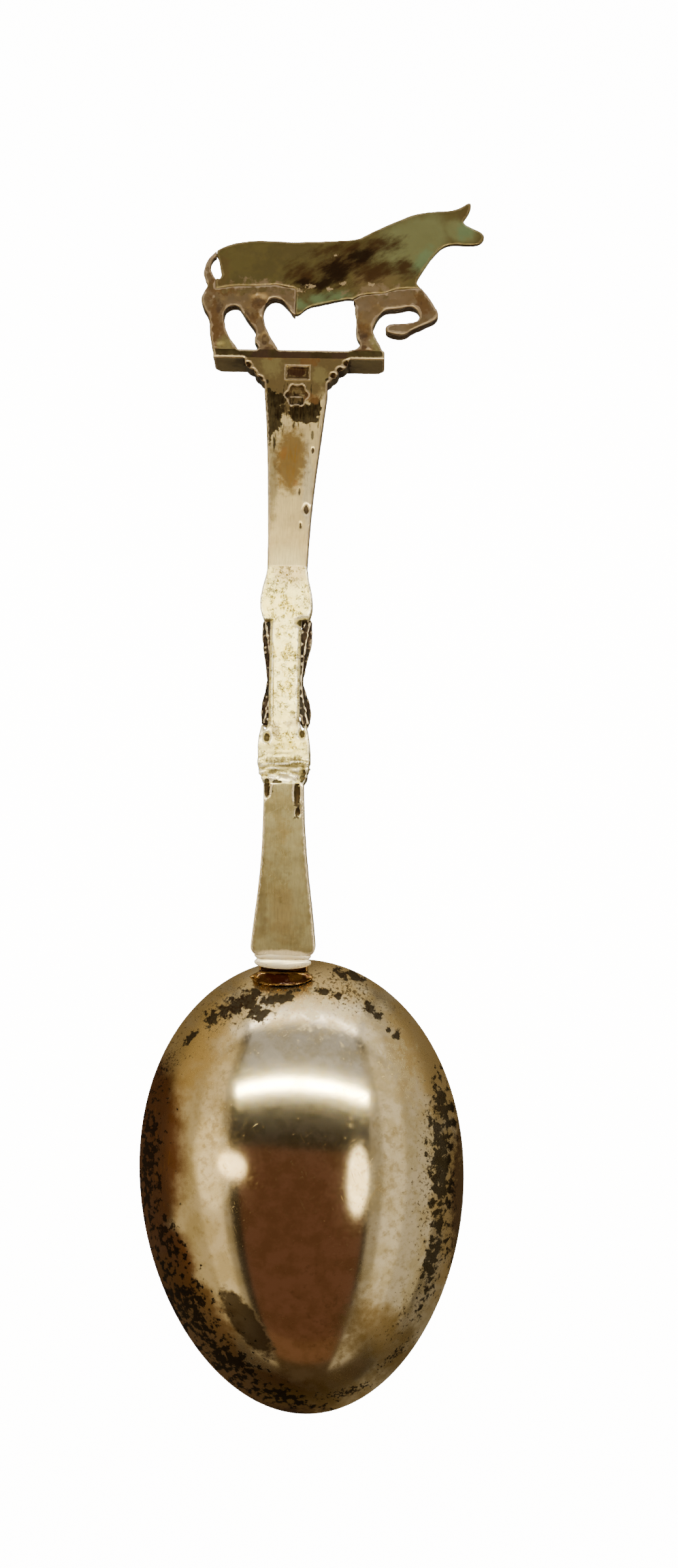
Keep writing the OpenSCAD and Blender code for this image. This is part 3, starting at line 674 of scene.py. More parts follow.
def roll_tree(material):
    """Round rolls side by side across the stem, tapered at their ends and bowed in turn."""
    tree, value = rule_tree("Foot rolls", [(n, "Float") for n in (
        "Length", "Radius", "Step", "Bow")] + [("Rolls", "Int")])
    value["half"] = add(tree, MATH, (value["Length"], 2.0), operation="DIVIDE")
    value["share"] = add(tree, "GeometryNodeSplineParameter").outputs["Factor"]
    at = add(tree, "ShaderNodeSeparateXYZ", (add(tree, "GeometryNodeInputPosition"),)).outputs
    value.update(x=at["X"], y=at["Y"])
    for name, operation, *feeds in (
            ("start", "MULTIPLY", "half", -1.0),
            # the radius falls off towards both ends
            ("centred", "MULTIPLY_ADD", "share", 2.0, -1.0), ("side", "ABSOLUTE", "centred"),
            ("fall", "POWER", "side", 9.0), ("kept", "SUBTRACT", 1.02, "fall"),
            ("thin", "SQRT", "kept"), ("radius", "MULTIPLY", "thin", "Radius"),
            # each roll bows out more than the one before it
            ("back", "MULTIPLY", "Step", -1.0), ("part", "DIVIDE", "x", "half"),
            ("square", "MULTIPLY", "part", "part"), ("swell", "SUBTRACT", 1.0, "square"),
            ("later", "DIVIDE", "y", "Step"), ("bend", "MULTIPLY", "swell", "later"),
            ("slip", "MULTIPLY", "bend", "Bow")):
        value[name] = add(tree, MATH, tuple(value.get(f, f) for f in feeds), operation=operation)
    line = add(tree, LINE, {"Start": add(tree, VECTOR, {"X": value["start"]}),
                            "End": add(tree, VECTOR, {"X": value["half"]})})
    fine = add(tree, "GeometryNodeResampleCurve", {"Curve": line, "Count": 60})
    ring = add(tree, RING, {"Resolution": 28, "Radius": 1.0})
    rod = add(tree, "GeometryNodeCurveToMesh", {
        "Curve": fine, "Profile Curve": ring, "Scale": value["radius"], "Fill Caps": True})
    row = add(tree, "GeometryNodeMeshLine", {
        "Count": value["Rolls"], "Offset": add(tree, VECTOR, {"Y": value["back"]})})
    rods = add(tree, "GeometryNodeInstanceOnPoints", {"Points": row, "Instance": rod})
    real = add(tree, "GeometryNodeRealizeInstances", (rods,))
    bent = add(tree, "GeometryNodeSetPosition", {
        "Geometry": real, "Offset": add(tree, VECTOR, {"Y": value["slip"]})})
    return close_tree(tree, bent, material)


def roll_finish_painted_highlight(colours):
    """Rolls in near-white silver, rubbed by handling and brightened further as a painted
    highlight, with brown left in the groove.
    """
    return silver_skin("Rubbed silver rolls with painted highlight", tuple(colours.rubbed), "#fffaf0", 0.3, 0.4, [],
                       # near-white worn colour on the rolls' ridges: wear and painted highlight
                       worn="#fffaf0", worn_share=0.9, sunk="#6b5536", sunk_share=0.7,
                       bump=0.012, scratches=0.3)


NECK_TOP = 1.9                          # below the foot's end, where the neck starts to narrow
NECK_WIDTHS = ((0, 0.72), (0.12, 0.8), (0.4, 1))    # share of the way down, share of the width
NECK_LEAN, NECK_LIFT = 0.45, 0.8        # how far its lower end runs left and stops short
ROLL_THIN, ROLL_UP = 0.82, 0.2          # share of the room that the rolls fill, and their lift
CORE_WIDE, CORE_LONG = 0.84, 0.8        # shares of the plain moulding that the rolls sit on


class SPOON_OT_neck(bpy.types.Operator):
    """Build the solder neck and the double roll at the stem's foot"""
    bl_idname = "spoon.neck"
    bl_label = "Neck and foot roll"

    def execute(self, context):
        sizes = context.scene.spoon_handle
        colours = context.scene.spoon_colours
        mesh = recast(welded(["neck"]), sizes.grain / MM, 5)
        place, facing = points(mesh)
        top = FOOT_Y - NECK_TOP
        reach = np.clip((top - place[:, 1]) / (top - place[:, 1].min()), 0, 1)
        narrow = np.sqrt(1.03 - reach ** 2.4) * np.interp(reach, *zip(*NECK_WIDTHS))
        place[:, 0] = STEM_X + (place[:, 0] - STEM_X) * narrow - NECK_LEAN * reach
        place[:, 1] += NECK_LIFT * reach
        place += facing * (0.10 * lumps(place, 1.1, 11) + 0.05 * lumps(place, 0.5, 12))[:, None]
        move_points(mesh, place)
        note_wear_and_side_shade(mesh)
        shown(mesh, "neck_solder", solder_and_shade_finish(colours), ["neck"])

        low, high = corners("foot_roll")
        material = roll_finish_painted_highlight(colours)
        radius = (high[1] - low[1]) / 4 * ROLL_THIN
        rolls = grown(roll_tree(material), {
            "Length": (high[0] - low[0]) * MM * 0.95, "Radius": radius * MM * 1.06,
            "Step": 2 * radius * MM, "Bow": sizes.roll_bow, "Rolls": 2})
        middle = Vector((STEM_X, high[1] - radius + ROLL_UP, high[2] - radius))
        rolls.transform(Matrix.Translation(middle) @ Matrix.Rotation(sizes.lower_tilt, 4, "X")
                        @ Matrix.Scale(1 / MM, 4))
        whole = bmesh.new()
        whole.from_mesh(welded(["foot_roll"]))
        for point in whole.verts:
            point.co.x = STEM_X + (point.co.x - STEM_X) * CORE_WIDE
            point.co.y = high[1] + ROLL_UP + (point.co.y - high[1]) * CORE_LONG
        whole.from_mesh(rolls)
        whole.to_mesh(rolls)
        whole.free()
        mesh = recast(rolls, sizes.grain / MM * 0.8, 3)
        place, facing = points(mesh)
        place += facing * (0.04 * lumps(place, (1.2, 0.5, 0.5), 15))[:, None]
        move_points(mesh, place)
        note_wear_and_side_shade(mesh)
        shown(mesh, "foot_rolls", material, ["foot_roll"])
        return {"FINISHED"}


# ---- The cast handle: stems, knop, plinth and legs are one casting ----
def stem_finish(colours):
    """Satin silver: grey-beige and brushed along its length, with black pits by the knop and a
    painted highlight along the rounded foot."""
    return silver_skin(
        "Aged satin silver", tuple(colours.stem), "#9c9370", 0.36, 0.85, [
            patch([(-0.05, -15, 2.6, 4.5)], "#b3a47a", 0.36, body=1.1, ragged=1.0, soft=0.8,
                  strength=0.7, grain="coarse"),
            patch([(-0.15, -5.4, 1.0, 1.6)], "#ad9a6c", 0.4, body=1.1, ragged=2.4, soft=1.0,
                  strength=0.45),
            patch([(3.4, -12, 0.7, 9, 10), (-3.3, -12, 0.7, 9, -10)], "#6e6449", 0.42, body=0.9,
                  ragged=1.6, soft=0.9, strength=0.6),
            patch([(0, -9, 3.4, 12)], "#77704f", 0.42, body=0.3, ragged=4.6, soft=1.0,
                  strength=0.5, half=-0.3),
            patch([(-2.75, -13, 0.9, 6, 6)], "#857a5c", 0.4, body=1.1, ragged=1.2, soft=0.8,
                  strength=0.7),
            # painted highlight along the foot's rounded end
            patch([(0.05, -20.1, 4.2, 0.7)], "#fff1d8", 0.25, 0.35, body=1.2, ragged=1.0,
                  soft=0.6, strength=0.85),
            patch([(0.05, -20.9, 3.2, 0.3)], "#efe2cb", 0.2, body=1.2, ragged=2.2, soft=0.4,
                  strength=0.9, grain="fine"),
            patch([(1.75, 1.6, 0.8, 1.3, -16), (1.35, -0.4, 0.6, 1.9, 4), (1.45, -2.7, 0.45, 0.7),
                   (-2.4, 0.4, 0.6, 1.2, 12), (-1.9, 0.2, 0.4, 0.7)], "#150a08", 0.5, 0.9,
                  body=1.1, ragged=3.2, soft=0.2, strength=0.97, grain="fine"),
            patch([(-0.35, 0.2, 2, 1), (-0.55, -3.5, 2, 3)], "#4c4230", 0.5, 0.5, body=0.35,
                  ragged=3.4, soft=0.9, strength=0.4, grain="fine", half=0.3)],
        worn="#fff6e2", worn_share=0.85, sunk="#4a3b22", sunk_share=0.35, bump=0.012,
        # side colour: upright faces painted darker, partly tarnish and partly painted shade
        side="#8b7c5c", side_tarnish_and_shade_share=0.3, brushed=0.22, scratches=0.5)


def knop_finish_painted_highlight(colours):
    """Cast silver in pale yellow, brightened towards near-white as a painted highlight, with a
    crackled skin, a grey ragged band at its lower end and soot-dark notches."""
    return silver_skin(
        # near-white tones and worn colour: the knop's silver brightened as a painted highlight
        "Crackled cast silver with painted highlight", tuple(colours.knop), "#fff7b4", 0.36, 0.5, [
            patch([(-0.75, 18.9, 1.6, 3.0), (-0.15, 13.0, 1.2, 2.4), (-0.35, 23.2, 2.2, 2.2),
                   (0.25, 5.4, 2.2, 1.8)], "#f2e070", 0.42, 0.6, body=0.8, ragged=4.0, soft=0.9,
                  strength=0.8),
            # near-white specks: painted highlight
            patch([(0, 16, 3.6, 12)], "#fffbc4", 0.28, 0.5, body=0.3, ragged=5.0, soft=0.7,
                  strength=0.9, grain="fine", half=0.2),
            patch([(0, 15, 3.6, 12)], "#8d8149", 0.45, 0.75, body=0.3, ragged=5.0, soft=0.9,
                  strength=0.75, half=-0.3),
            patch([(0.05, 27.5, 3.4, 2.6)], "#cdbb92", 0.4, 0.8, body=1.3, ragged=1.0, soft=0.9,
                  strength=0.9, grain="coarse"),
            patch([(0.65, 8.4, 1.9, 1.2), (-1.55, 7.8, 0.9, 1.6)], "#b8aa8c", 0.45, 0.7, body=1.0,
                  ragged=2.6, soft=0.7, strength=0.7),
            patch([(-0.3, 1.0, 3.0, 0.6)], "#24160e", 0.5, 0.9, body=0.5, ragged=5.0, soft=0.3,
                  strength=0.9, grain="fine", half=0.1),
            patch([(-0.25, 3.1, 3.2, 1.25)], "#7d7558", 0.45, 0.8, body=1.2, ragged=3.4, soft=0.5,
                  strength=0.8, grain="fine"),
            patch([(-0.25, 1.5, 2.6, 0.6)], "#fffbe6", 0.3, 0.8, body=1.0, ragged=3.0, soft=0.4,
                  strength=0.9, grain="fine"),
            patch([(1.8, 20.95, 1.0, 0.5)], "#4f5145", 0.4, 0.8, body=1.4, ragged=0.8, soft=0.4,
                  strength=0.9),
            patch([(2.25, 1.7, 0.55, 1.1, -14), (-2.5, 6.5, 0.35, 0.6), (1.85, 7.1, 0.3, 0.55),
                   (-2.45, 0.8, 0.5, 0.7, 10), (-1.05, 1.0, 0.7, 0.35)], "#150c08", 0.5, 0.9,
                  body=1.3, ragged=2.2, soft=0.2, strength=0.96, grain="fine"),
            patch([(-1.9, 14.5, 0.10, 7.2, 1.5)], "#6b6244", 0.5, 0.7, body=1.1, ragged=1.6,
                  soft=0.4, strength=0.85, grain="fine")],
        # side colour: upright faces painted darker, partly tarnish and partly painted shade
        worn="#fffdf0", worn_share=0.7, sunk="#6b6146", sunk_share=0.6, side="#5d5238",
        side_tarnish_and_shade_share=0.6, bump=0.035, cracks=1.0, scratches=0.4)


def upper_finish(colours):
    """Pale beige silver that darkens to olive by the plinth, with a golden-brown stain down its
    middle, black-brown sulphide round the star mark, pits along the right edge and a painted
    highlight beside them."""
    return silver_skin(
        "Stained upper silver", tuple(colours.upper), "#d2c094", 0.38, 0.85, [
            patch([(-0.45, 28.2, 3.4, 3.2)], "#ece0b4", 0.36, 0.85, body=1.2, ragged=1.2,
                  soft=0.9, strength=0.8, grain="coarse"),
            patch([(-2.55, 40, 1.0, 9)], "#746a54", 0.4, 0.85, body=1.2, ragged=1.4, soft=0.8,
                  strength=0.7),
            # painted highlight along the right edge
            patch([(1.9, 38, 0.9, 8, 4)], "#efe3c4", 0.3, 0.9, body=1.1, ragged=1.6, soft=0.6,
                  strength=0.8),
            patch([(-0.35, 41.9, 2.7, 5.4, -2)], "#5c400a", 0.42, 0.88, body=1.5, ragged=1.5,
                  soft=0.7, strength=0.85),
            patch([(-0.35, 41.9, 2.7, 5.6, -2)], "#84611c", 0.36, 0.85, body=0.8, ragged=4.0,
                  soft=0.8, strength=0.55, grain="rubbed", half=0.5),
            patch([(-1.35, 42.6, 0.7, 1.2), (0.35, 38.7, 0.5, 0.8)], "#7a4c0c", 0.45, 0.6,
                  body=1.0, ragged=2.0, soft=0.8, strength=0.5),
            patch([(-0.15, 54.2, 9, 5.4)], "#594b2f", 0.38, 0.8, body=1.7, ragged=1.3, soft=0.6,
                  strength=0.95, grain="coarse"),
            patch([(-3.05, 54.4, 1.6, 2.4), (3.05, 53.0, 1.4, 1.6)], "#8a8159", 0.34, 0.85,
                  body=1.1, ragged=1.8, soft=0.7, strength=0.7),
            patch([(0.05, 48.8, 3.8, 2.4)], "#2c1d0c", 0.5, 0.9, body=1.2, ragged=2.6, soft=0.7,
                  strength=0.9),
            patch([(-2.75, 48.3, 0.9, 2.3, 8), (0.75, 48.2, 1.3, 0.9),
                   (-2.15, 49.6, 1.0, 0.7, 20), (2.45, 48.6, 0.8, 1.1), (1.25, 47.2, 1.6, 0.6),
                   (-3.15, 46.0, 0.35, 2.2)], "#120a03", 0.5, 0.95, body=1.2, ragged=2.8,
                  soft=0.3, strength=0.95, half=1.3),
            patch([(0, 48.4, 3.8, 2.6), (-2.6, 44.5, 0.5, 4)], "#170d05", 0.5, 0.95, body=0.6,
                  ragged=4.6, soft=0.4, strength=0.9, grain="rubbed", half=0.5),
            patch([(-6.2, 54.2, 0.55, 0.5), (-5.5, 53.1, 0.55, 0.5), (-4.6, 52.4, 0.5, 0.4),
                   (-3.75, 52.0, 0.4, 0.3), (6.4, 54.6, 0.55, 0.5), (5.55, 53.65, 0.55, 0.5),
                   (4.7, 52.95, 0.5, 0.4), (4.05, 52.35, 0.4, 0.3)], "#170d05", 0.5, 0.95,
                  body=1.2, ragged=1.6, soft=0.4, strength=0.9, grain="fine"),
            patch([(1.95, 49.9, 1.3, 0.8, -20), (-1.65, 55.7, 6.5, 0.7), (1.65, 54.7, 1.6, 0.8)],
                  "#5a3c14", 0.5, 0.5, body=1.1, ragged=2.4, soft=0.5, strength=0.8),
            patch([(2.33, 43.0, 0.2, 0.42), (1.72, 35.3, 0.34, 0.6, 8),
                   (1.05, 33.2, 0.14, 0.5, 10), (0.8, 37.6, 0.16, 0.6), (2.25, 45.0, 0.2, 0.7)],
                  "#3a3526", 0.5, 0.6, body=1.3, ragged=1.4, soft=0.3, strength=0.9, grain="fine"),
            patch([(0.01, 53.45, 1.35, 0.75)], "#2a0d07", 0.4, 0.9, body=1.6, ragged=1.6,
                  soft=0.3, strength=0.9, grain="fine")],
        # side colour: upright faces painted darker, partly tarnish and partly painted shade
        worn="#dccbb6", worn_share=0.4, sunk="#2a1608", sunk_share=0.75, side="#2e2112",
        side_tarnish_and_shade_share=0.7, bump=0.014, brushed=0.22, scratches=0.6)


def cast_finish(colours):
    """Cast silver of the legs and tail: pinkish grey, pitted, with brown stains in its hollows
    and bright worn edges; olive where it meets the plinth."""
    return silver_skin(
        "Pinkish cast silver", tuple(colours.cast), "#6c5b44", 0.42, 0.8, [
            patch([(-10.55, 59, 1.6, 6.4), (-4.95, 62.4, 1.6, 1.2, -30),
                   (-6.05, 60.6, 1.3, 1.6, 30), (15.75, 62.8, 1.2, 2.4, 20),
                   (8.45, 59, 1.2, 2.2, 20), (-10.75, 67.5, 1.2, 4.4), (-9.35, 64.2, 3.0, 1.0)],
                  "#523a1a", 0.5, 0.6, body=0.9, ragged=2.4, soft=0.7, strength=0.85),
            patch([(-5.15, 62.9, 1.0, 0.7, 20), (-6.35, 61.0, 0.7, 1.2, 30),
                   (8.25, 58.3, 0.8, 1.2), (-10.05, 62.0, 0.5, 1.2)], "#2b190b", 0.6, 0.3,
                  body=1.0, ragged=2.4, soft=0.9, strength=0.7),
            patch([(-9.05, 56.9, 1.6, 1.3), (10.45, 57.4, 1.8, 1.8)], "#7b7450", 0.38, 0.85,
                  body=1.2, ragged=1.6, soft=0.6, strength=0.85),
            patch([(-6, 64.6, 5, 0.9), (10, 64.2, 4, 0.9)], "#5a4f34", 0.42, 0.8, body=0.8,
                  ragged=4.0, soft=0.6, strength=0.85),
            patch([(-1.15, 55.9, 4.5, 0.9), (7.85, 56.3, 2, 0.8)], "#3a240d", 0.5, 0.5, body=1.1,
                  ragged=2.2, soft=0.6, strength=0.85)],
        # side colour: upright faces painted darker, partly tarnish and partly painted shade
        worn="#c3b2a0", worn_share=0.36, sunk="#2f1c0d", sunk_share=0.6, side="#3a2813",
        side_tarnish_and_shade_share=0.75, bump=0.022, scratches=0.3)


def plinth_finish(colours):
    """The plinth: dark olive silver underneath with brown by the brackets, and a bright edge."""
    return silver_skin(
        "Dark olive cast silver", linear("#443c23"), "#352b16", 0.4, 0.8, [
            patch([(-4.75, 54.5, 1.6, 6), (5.45, 54.5, 1.6, 6), (-0.15, 55, 3, 6)], "#2c1608",
                  0.5, 0.5, body=1.1, ragged=1.6, soft=0.6, strength=0.85)],
        worn="#d9c8a8", worn_share=0.6, sunk="#1e1107", sunk_share=0.8, bump=0.02,
        scratches=0.3)


DENTS = [  # x, y, rx, ry, depth: pits and notches on the handle's back
    (2.33, 43.0, 0.24, 0.45, 0.16), (1.72, 35.3, 0.4, 0.65, 0.3), (1.05, 33.2, 0.22, 0.5, 0.1),
    (0.8, 37.6, 0.2, 0.6, 0.06), (1.85, 20.95, 1.0, 0.55, 0.75), (-2.5, 6.6, 0.42, 0.6, 0.55),
    (1.85, 7.1, 0.4, 0.6, 0.5), (2, 1.9, 0.5, 1.0, 0.35), (1.42, -0.2, 0.4, 1.4, 0.28),
    (1.55, -2.7, 0.3, 0.5, 0.2), (-2.35, 0.5, 0.4, 0.9, 0.3), (-2.35, -0.4, 0.35, 0.5, 0.2),
    (-5.05, 62.7, 1.3, 0.8, 0.25), (-6.15, 61.0, 0.9, 1.4, 0.2), (8.35, 58.7, 0.9, 1.6, 0.2),
    (16.05, 62.9, 0.8, 1.9, 0.16), (-10.05, 62.4, 0.8, 1.6, 0.2), (-9.55, 58.2, 0.7, 1.2, -0.15),
    (-6.2, 54.2, 0.45, 0.4, 0.35), (-5.5, 53.1, 0.45, 0.4, 0.35), (-4.6, 52.4, 0.4, 0.35, 0.3),
    (6.4, 54.6, 0.45, 0.4, 0.35), (5.55, 53.65, 0.45, 0.4, 0.35), (4.7, 52.95, 0.4, 0.35, 0.3),
    (-4.15, 57.6, 0.6, 0.9, 0.2), (12.45, 58.6, 1.4, 0.7, -0.1)]


MARK_X, MARK_STEP = 0.15, 3.0       # the marks' line, and their steps down from the plinth's top
OBLONG = (1.42, 0.82)               # half sizes of the oblong mark
FLOWER = (1.34, 0.13, 6)            # radius, wave and petals of the flower mark
BACK_SKIN = -0.8                    # no point of the back is deeper than this
FRONT_SKIN = -0.9                   # the legs' and body's fronts are deeper than this


class SPOON_OT_handle(bpy.types.Operator):
    """Build the cast handle: both stems, the knop's back, the plinth, its brackets and legs"""
    bl_idname = "spoon.handle"
    bl_label = "Cast handle"

    def execute(self, context):
        sizes = context.scene.spoon_handle
        colours = context.scene.spoon_colours
        nodes = ["lower_stem", "knop_lower", "strap", "knop_upper", "upper_stem", "bracket_left",
                 "bracket_right", "plinth", "hind_legs", "foreleg", "raised_leg", "tail"]
        mesh = recast(welded(nodes), sizes.grain / MM, 3)
        place, facing = points(mesh)

        # stations up the upper stem, heights above its sloping back
        up = np.array(Matrix.Rotation(-sizes.upper_tilt, 3, "X"))
        bar = (place - HINGE) @ up
        upright = np.abs((facing @ up)[:, 2])
        low, high = corners("plinth")
        stations = sorted(((np.array([STEM_X, y, z]) - HINGE) @ up)[1]
                          for y in (low[1], high[1]) for z in (low[2], high[2]))
        foot, stand = stations[1], ((np.array([STEM_X, high[1], high[2]]) - HINGE) @ up)[1]
        on_legs = bar[:, 1] > stand + 0.2
        on_knop = (place[:, 1] > KNOP_LOW_Y) & (place[:, 1] < KNOP_HIGH_Y)

        # the legs' fronts are rounded; their backs stay flat
        rounded_front(bar, (upright < 0.5) & on_legs, on_legs & (bar[:, 2] < FRONT_SKIN),
                      1.1, 0.72)

        back = (facing @ up)[:, 2] > 0.2

        def strike(inside, depth, slope, unevenness, burr):
            """Sinks a mark to its worn floor, and gives the burr pushed up round it."""
            floor = depth * np.clip(inside / slope, 0, 1) + unevenness
            struck = back & (inside > 0) & (bar[:, 2] > BACK_SKIN)
            bar[:, 2] = np.where(struck, floor, bar[:, 2])
            high, away, wide = burr
            return high * np.exp(-((inside + away) / wide) ** 2)

        across, along = bar[:, 0] - MARK_X, bar[:, 1] - stand + MARK_STEP
        inside = np.minimum(OBLONG[0] - np.abs(across), OBLONG[1] - np.abs(along))
        burr = strike(inside, -0.26 - 0.10 * across, 0.25, 0.04 * lumps(place, 1.1, 41),
                      (0.07, 0.12, 0.13))
        along = along + MARK_STEP
        radius, wave, petals = FLOWER
        inside = radius - np.hypot(across, along)
        inside += wave * np.cos(petals * np.arctan2(along, across))
        low_part = np.clip((0.25 - along) / 0.5, 0, 1)
        burr += strike(inside, -0.28 + 0.24 * low_part, 0.3, 0.05 * lumps(place, 1.0, 42),
                       (0.10, 0.10, 0.14))
        bar[:, 2] += np.where(back & (bar[:, 2] > BACK_SKIN), burr, 0)
        place = bowed(bar @ up.T + HINGE)

        # casting lumps, stronger on the legs, and ragged ridges across the knop's lower end
        size_of = np.where(on_legs, 0.11, np.where(on_knop, 0.035, 0.014))
        place += facing * (size_of * lumps(place, 1.5, 3)
                           + 0.4 * size_of * lumps(place, 0.55, 4))[:, None]
        ragged = np.exp(-((place[:, 1] - KNOP_LOW_Y - 1.6) / 1.5) ** 2) * on_knop
        place += facing * (0.20 * ragged * lumps(place, (1.6, 0.3, 1.0), 5))[:, None]
        place = pressed(place, facing, DENTS)

        # the shoulders below the strap run out smoothly
        shoulder = np.exp(-((place[:, 1] - STRAP_LOW[1]) / 1.1) ** 4)
        shoulder *= np.clip(np.abs(place[:, 0] - STEM_X) - 1.7, 0, 1)
        place += shoulder[:, None] * (softened(mesh, place, 60) - place)
        move_points(mesh, place)
        note_wear_and_side_shade(mesh)

        level, tilted = Vector((0, 1, 0)), Vector(up @ np.array([0, 1, 0]))
        knop_low, knop_high = Vector((0, KNOP_LOW_Y, 0)), Vector((0, KNOP_HIGH_Y, 0))
        below, above = (Vector(HINGE + np.array([0, y, 0]) @ up.T) for y in (foot, stand))
        for name, slot, finish, cuts, nodes in (
                ("lower_bar", "stem_silver", stem_finish, [(knop_low, level)], ["lower_stem"]),
                ("knop_back", "knop_silver", knop_finish_painted_highlight, [(knop_low, -level), (knop_high, level)],
                 ["knop_lower", "strap", "knop_upper"]),
                ("upper_bar", "upper_silver", upper_finish, [(knop_high, -level), (below, tilted)],
                 ["upper_stem", "bracket_left", "bracket_right"]),
                ("plinth_shelf", "upper_silver", plinth_finish, [(below, -tilted), (above, tilted)],
                 ["plinth"]),
                ("cow_legs", "cast_silver", cast_finish, [(above, -tilted)],
                 ["hind_legs", "foreleg", "raised_leg", "tail"])):
            shown(parted(mesh, cuts), name, finish(colours), nodes)
        return {"FINISHED"}


# ---- The knop's ornament: a turned baluster between two scrolls ----
def oxide_and_shade_finish(colours, name="Oxidised silver"):
    """Oxidised silver, near-black all over and partly painted shade of the dark gap in front of
    the knop; black-brown in its hollows, with pale worn ridges.
    """
    return silver_skin(name, tuple(colours.black), "#2b190e", 0.5, 0.45, [],
                       worn="#d8ccb8", worn_share=0.9, sunk="#0a0503", sunk_share=0.9,
                       bump=0.02, scratches=0.0)


def baluster_tree(material):
    """A turned rod: a narrow waist that swells to both ends, with rings near each end."""
    tree, value = rule_tree("Turned baluster", [(n, "Float") for n in (
        "Length", "End radius", "Waist radius", "Waist at", "Ring height")] + [("Rings", "Int")])
    value["share"] = add(tree, "GeometryNodeSplineParameter").outputs["Factor"]
    for name, operation, *feeds in (
            ("under", "DIVIDE", "share", "Waist at"), ("low", "SUBTRACT", 1.0, "under"),
            ("below", "MAXIMUM", "low", 0.0),
            ("past", "SUBTRACT", "share", "Waist at"), ("rest", "SUBTRACT", 1.0, "Waist at"),
            ("high", "DIVIDE", "past", "rest"), ("above", "MAXIMUM", "high", 0.0),
            ("nearer", "MAXIMUM", "below", "above"), ("out", "POWER", "nearer", 1.6),
            ("span", "SUBTRACT", "End radius", "Waist radius"),
            ("plain", "MULTIPLY_ADD", "out", "span", "Waist radius"),
            ("count", "MULTIPLY", "share", "Rings"), ("phase", "MULTIPLY", "count", 5 * math.pi),
            ("wave", "SINE", "phase"), ("rings", "ABSOLUTE", "wave")):
        value[name] = add(tree, MATH, tuple(value.get(f, f) for f in feeds), operation=operation)
    near_end = add(tree, RANGE, (value["out"], 0.25, 0.5))
    rings = add(tree, MATH, (value["rings"], near_end), operation="MULTIPLY")
    value["radius"] = add(tree, MATH, (rings, value["Ring height"], value["plain"]),
                          operation="MULTIPLY_ADD")
    line = add(tree, LINE, {"End": add(tree, VECTOR, {"Y": value["Length"]})})
    fine = add(tree, "GeometryNodeResampleCurve", {"Curve": line, "Count": 180})
    ring = add(tree, RING, {"Resolution": 48, "Radius": 1.0})
    rod = add(tree, "GeometryNodeCurveToMesh", {
        "Curve": fine, "Profile Curve": ring, "Scale": value["radius"], "Fill Caps": True})
    return close_tree(tree, rod, material)


def scroll_tree(material):
    """A flat band swept along a path of edges, with small lobes set along it."""
    tree, given = rule_tree("Scroll band", [("Band", "Float"), ("Thickness", "Float"),
                                            ("Lobe", "Float"), ("Lobes", "Int")])
    path = add(tree, "GeometryNodeMeshToCurve", {"Mesh": given["Geometry"]})
    smooth = add(tree, "GeometryNodeResampleCurve", {"Curve": path, "Count": 150})
    oval = add(tree, RING, {"Resolution": 16, "Radius": 1.0})
    halves = [add(tree, MATH, (given[n], 2.0), operation="DIVIDE") for n in ("Thickness", "Band")]
    flat = add(tree, "GeometryNodeTransform", {
        "Geometry": oval, "Scale": add(tree, VECTOR, (*halves, 1.0))})
    band = add(tree, "GeometryNodeCurveToMesh", {
        "Curve": smooth, "Profile Curve": flat, "Fill Caps": True})
    spots = add(tree, "GeometryNodeCurveToPoints", {"Curve": path, "Count": given["Lobes"]})
    ball = add(tree, "GeometryNodeMeshIcoSphere", {"Radius": given["Lobe"], "Subdivisions": 3})
    lobes = add(tree, "GeometryNodeInstanceOnPoints", {"Points": spots, "Instance": ball})
    both = add(tree, "GeometryNodeJoinGeometry", (band,))
    tree.links.new(lobes.outputs[0], both.inputs[0])
    return close_tree(tree, both, material)


def scroll_path(side, inner, outer, length):
    """A scroll's path in plan, x outwards: full at both ends, drawn in to the waist between."""
    path = []
    for k in range(41):
        v = k / 40
        bulge = abs(v - 0.42) / (0.42 if v < 0.42 else 0.58)
        reach = math.sin(min(1.0, bulge * 1.12) ** 1.5 * math.pi * 0.62)
        path.append((side * (inner + (outer - inner) * reach) * MM, v * length * MM, 0))
    mesh = bpy.data.meshes.new("path")
    mesh.from_pydata(path, [(k, k + 1) for k in range(40)], [])
    return mesh


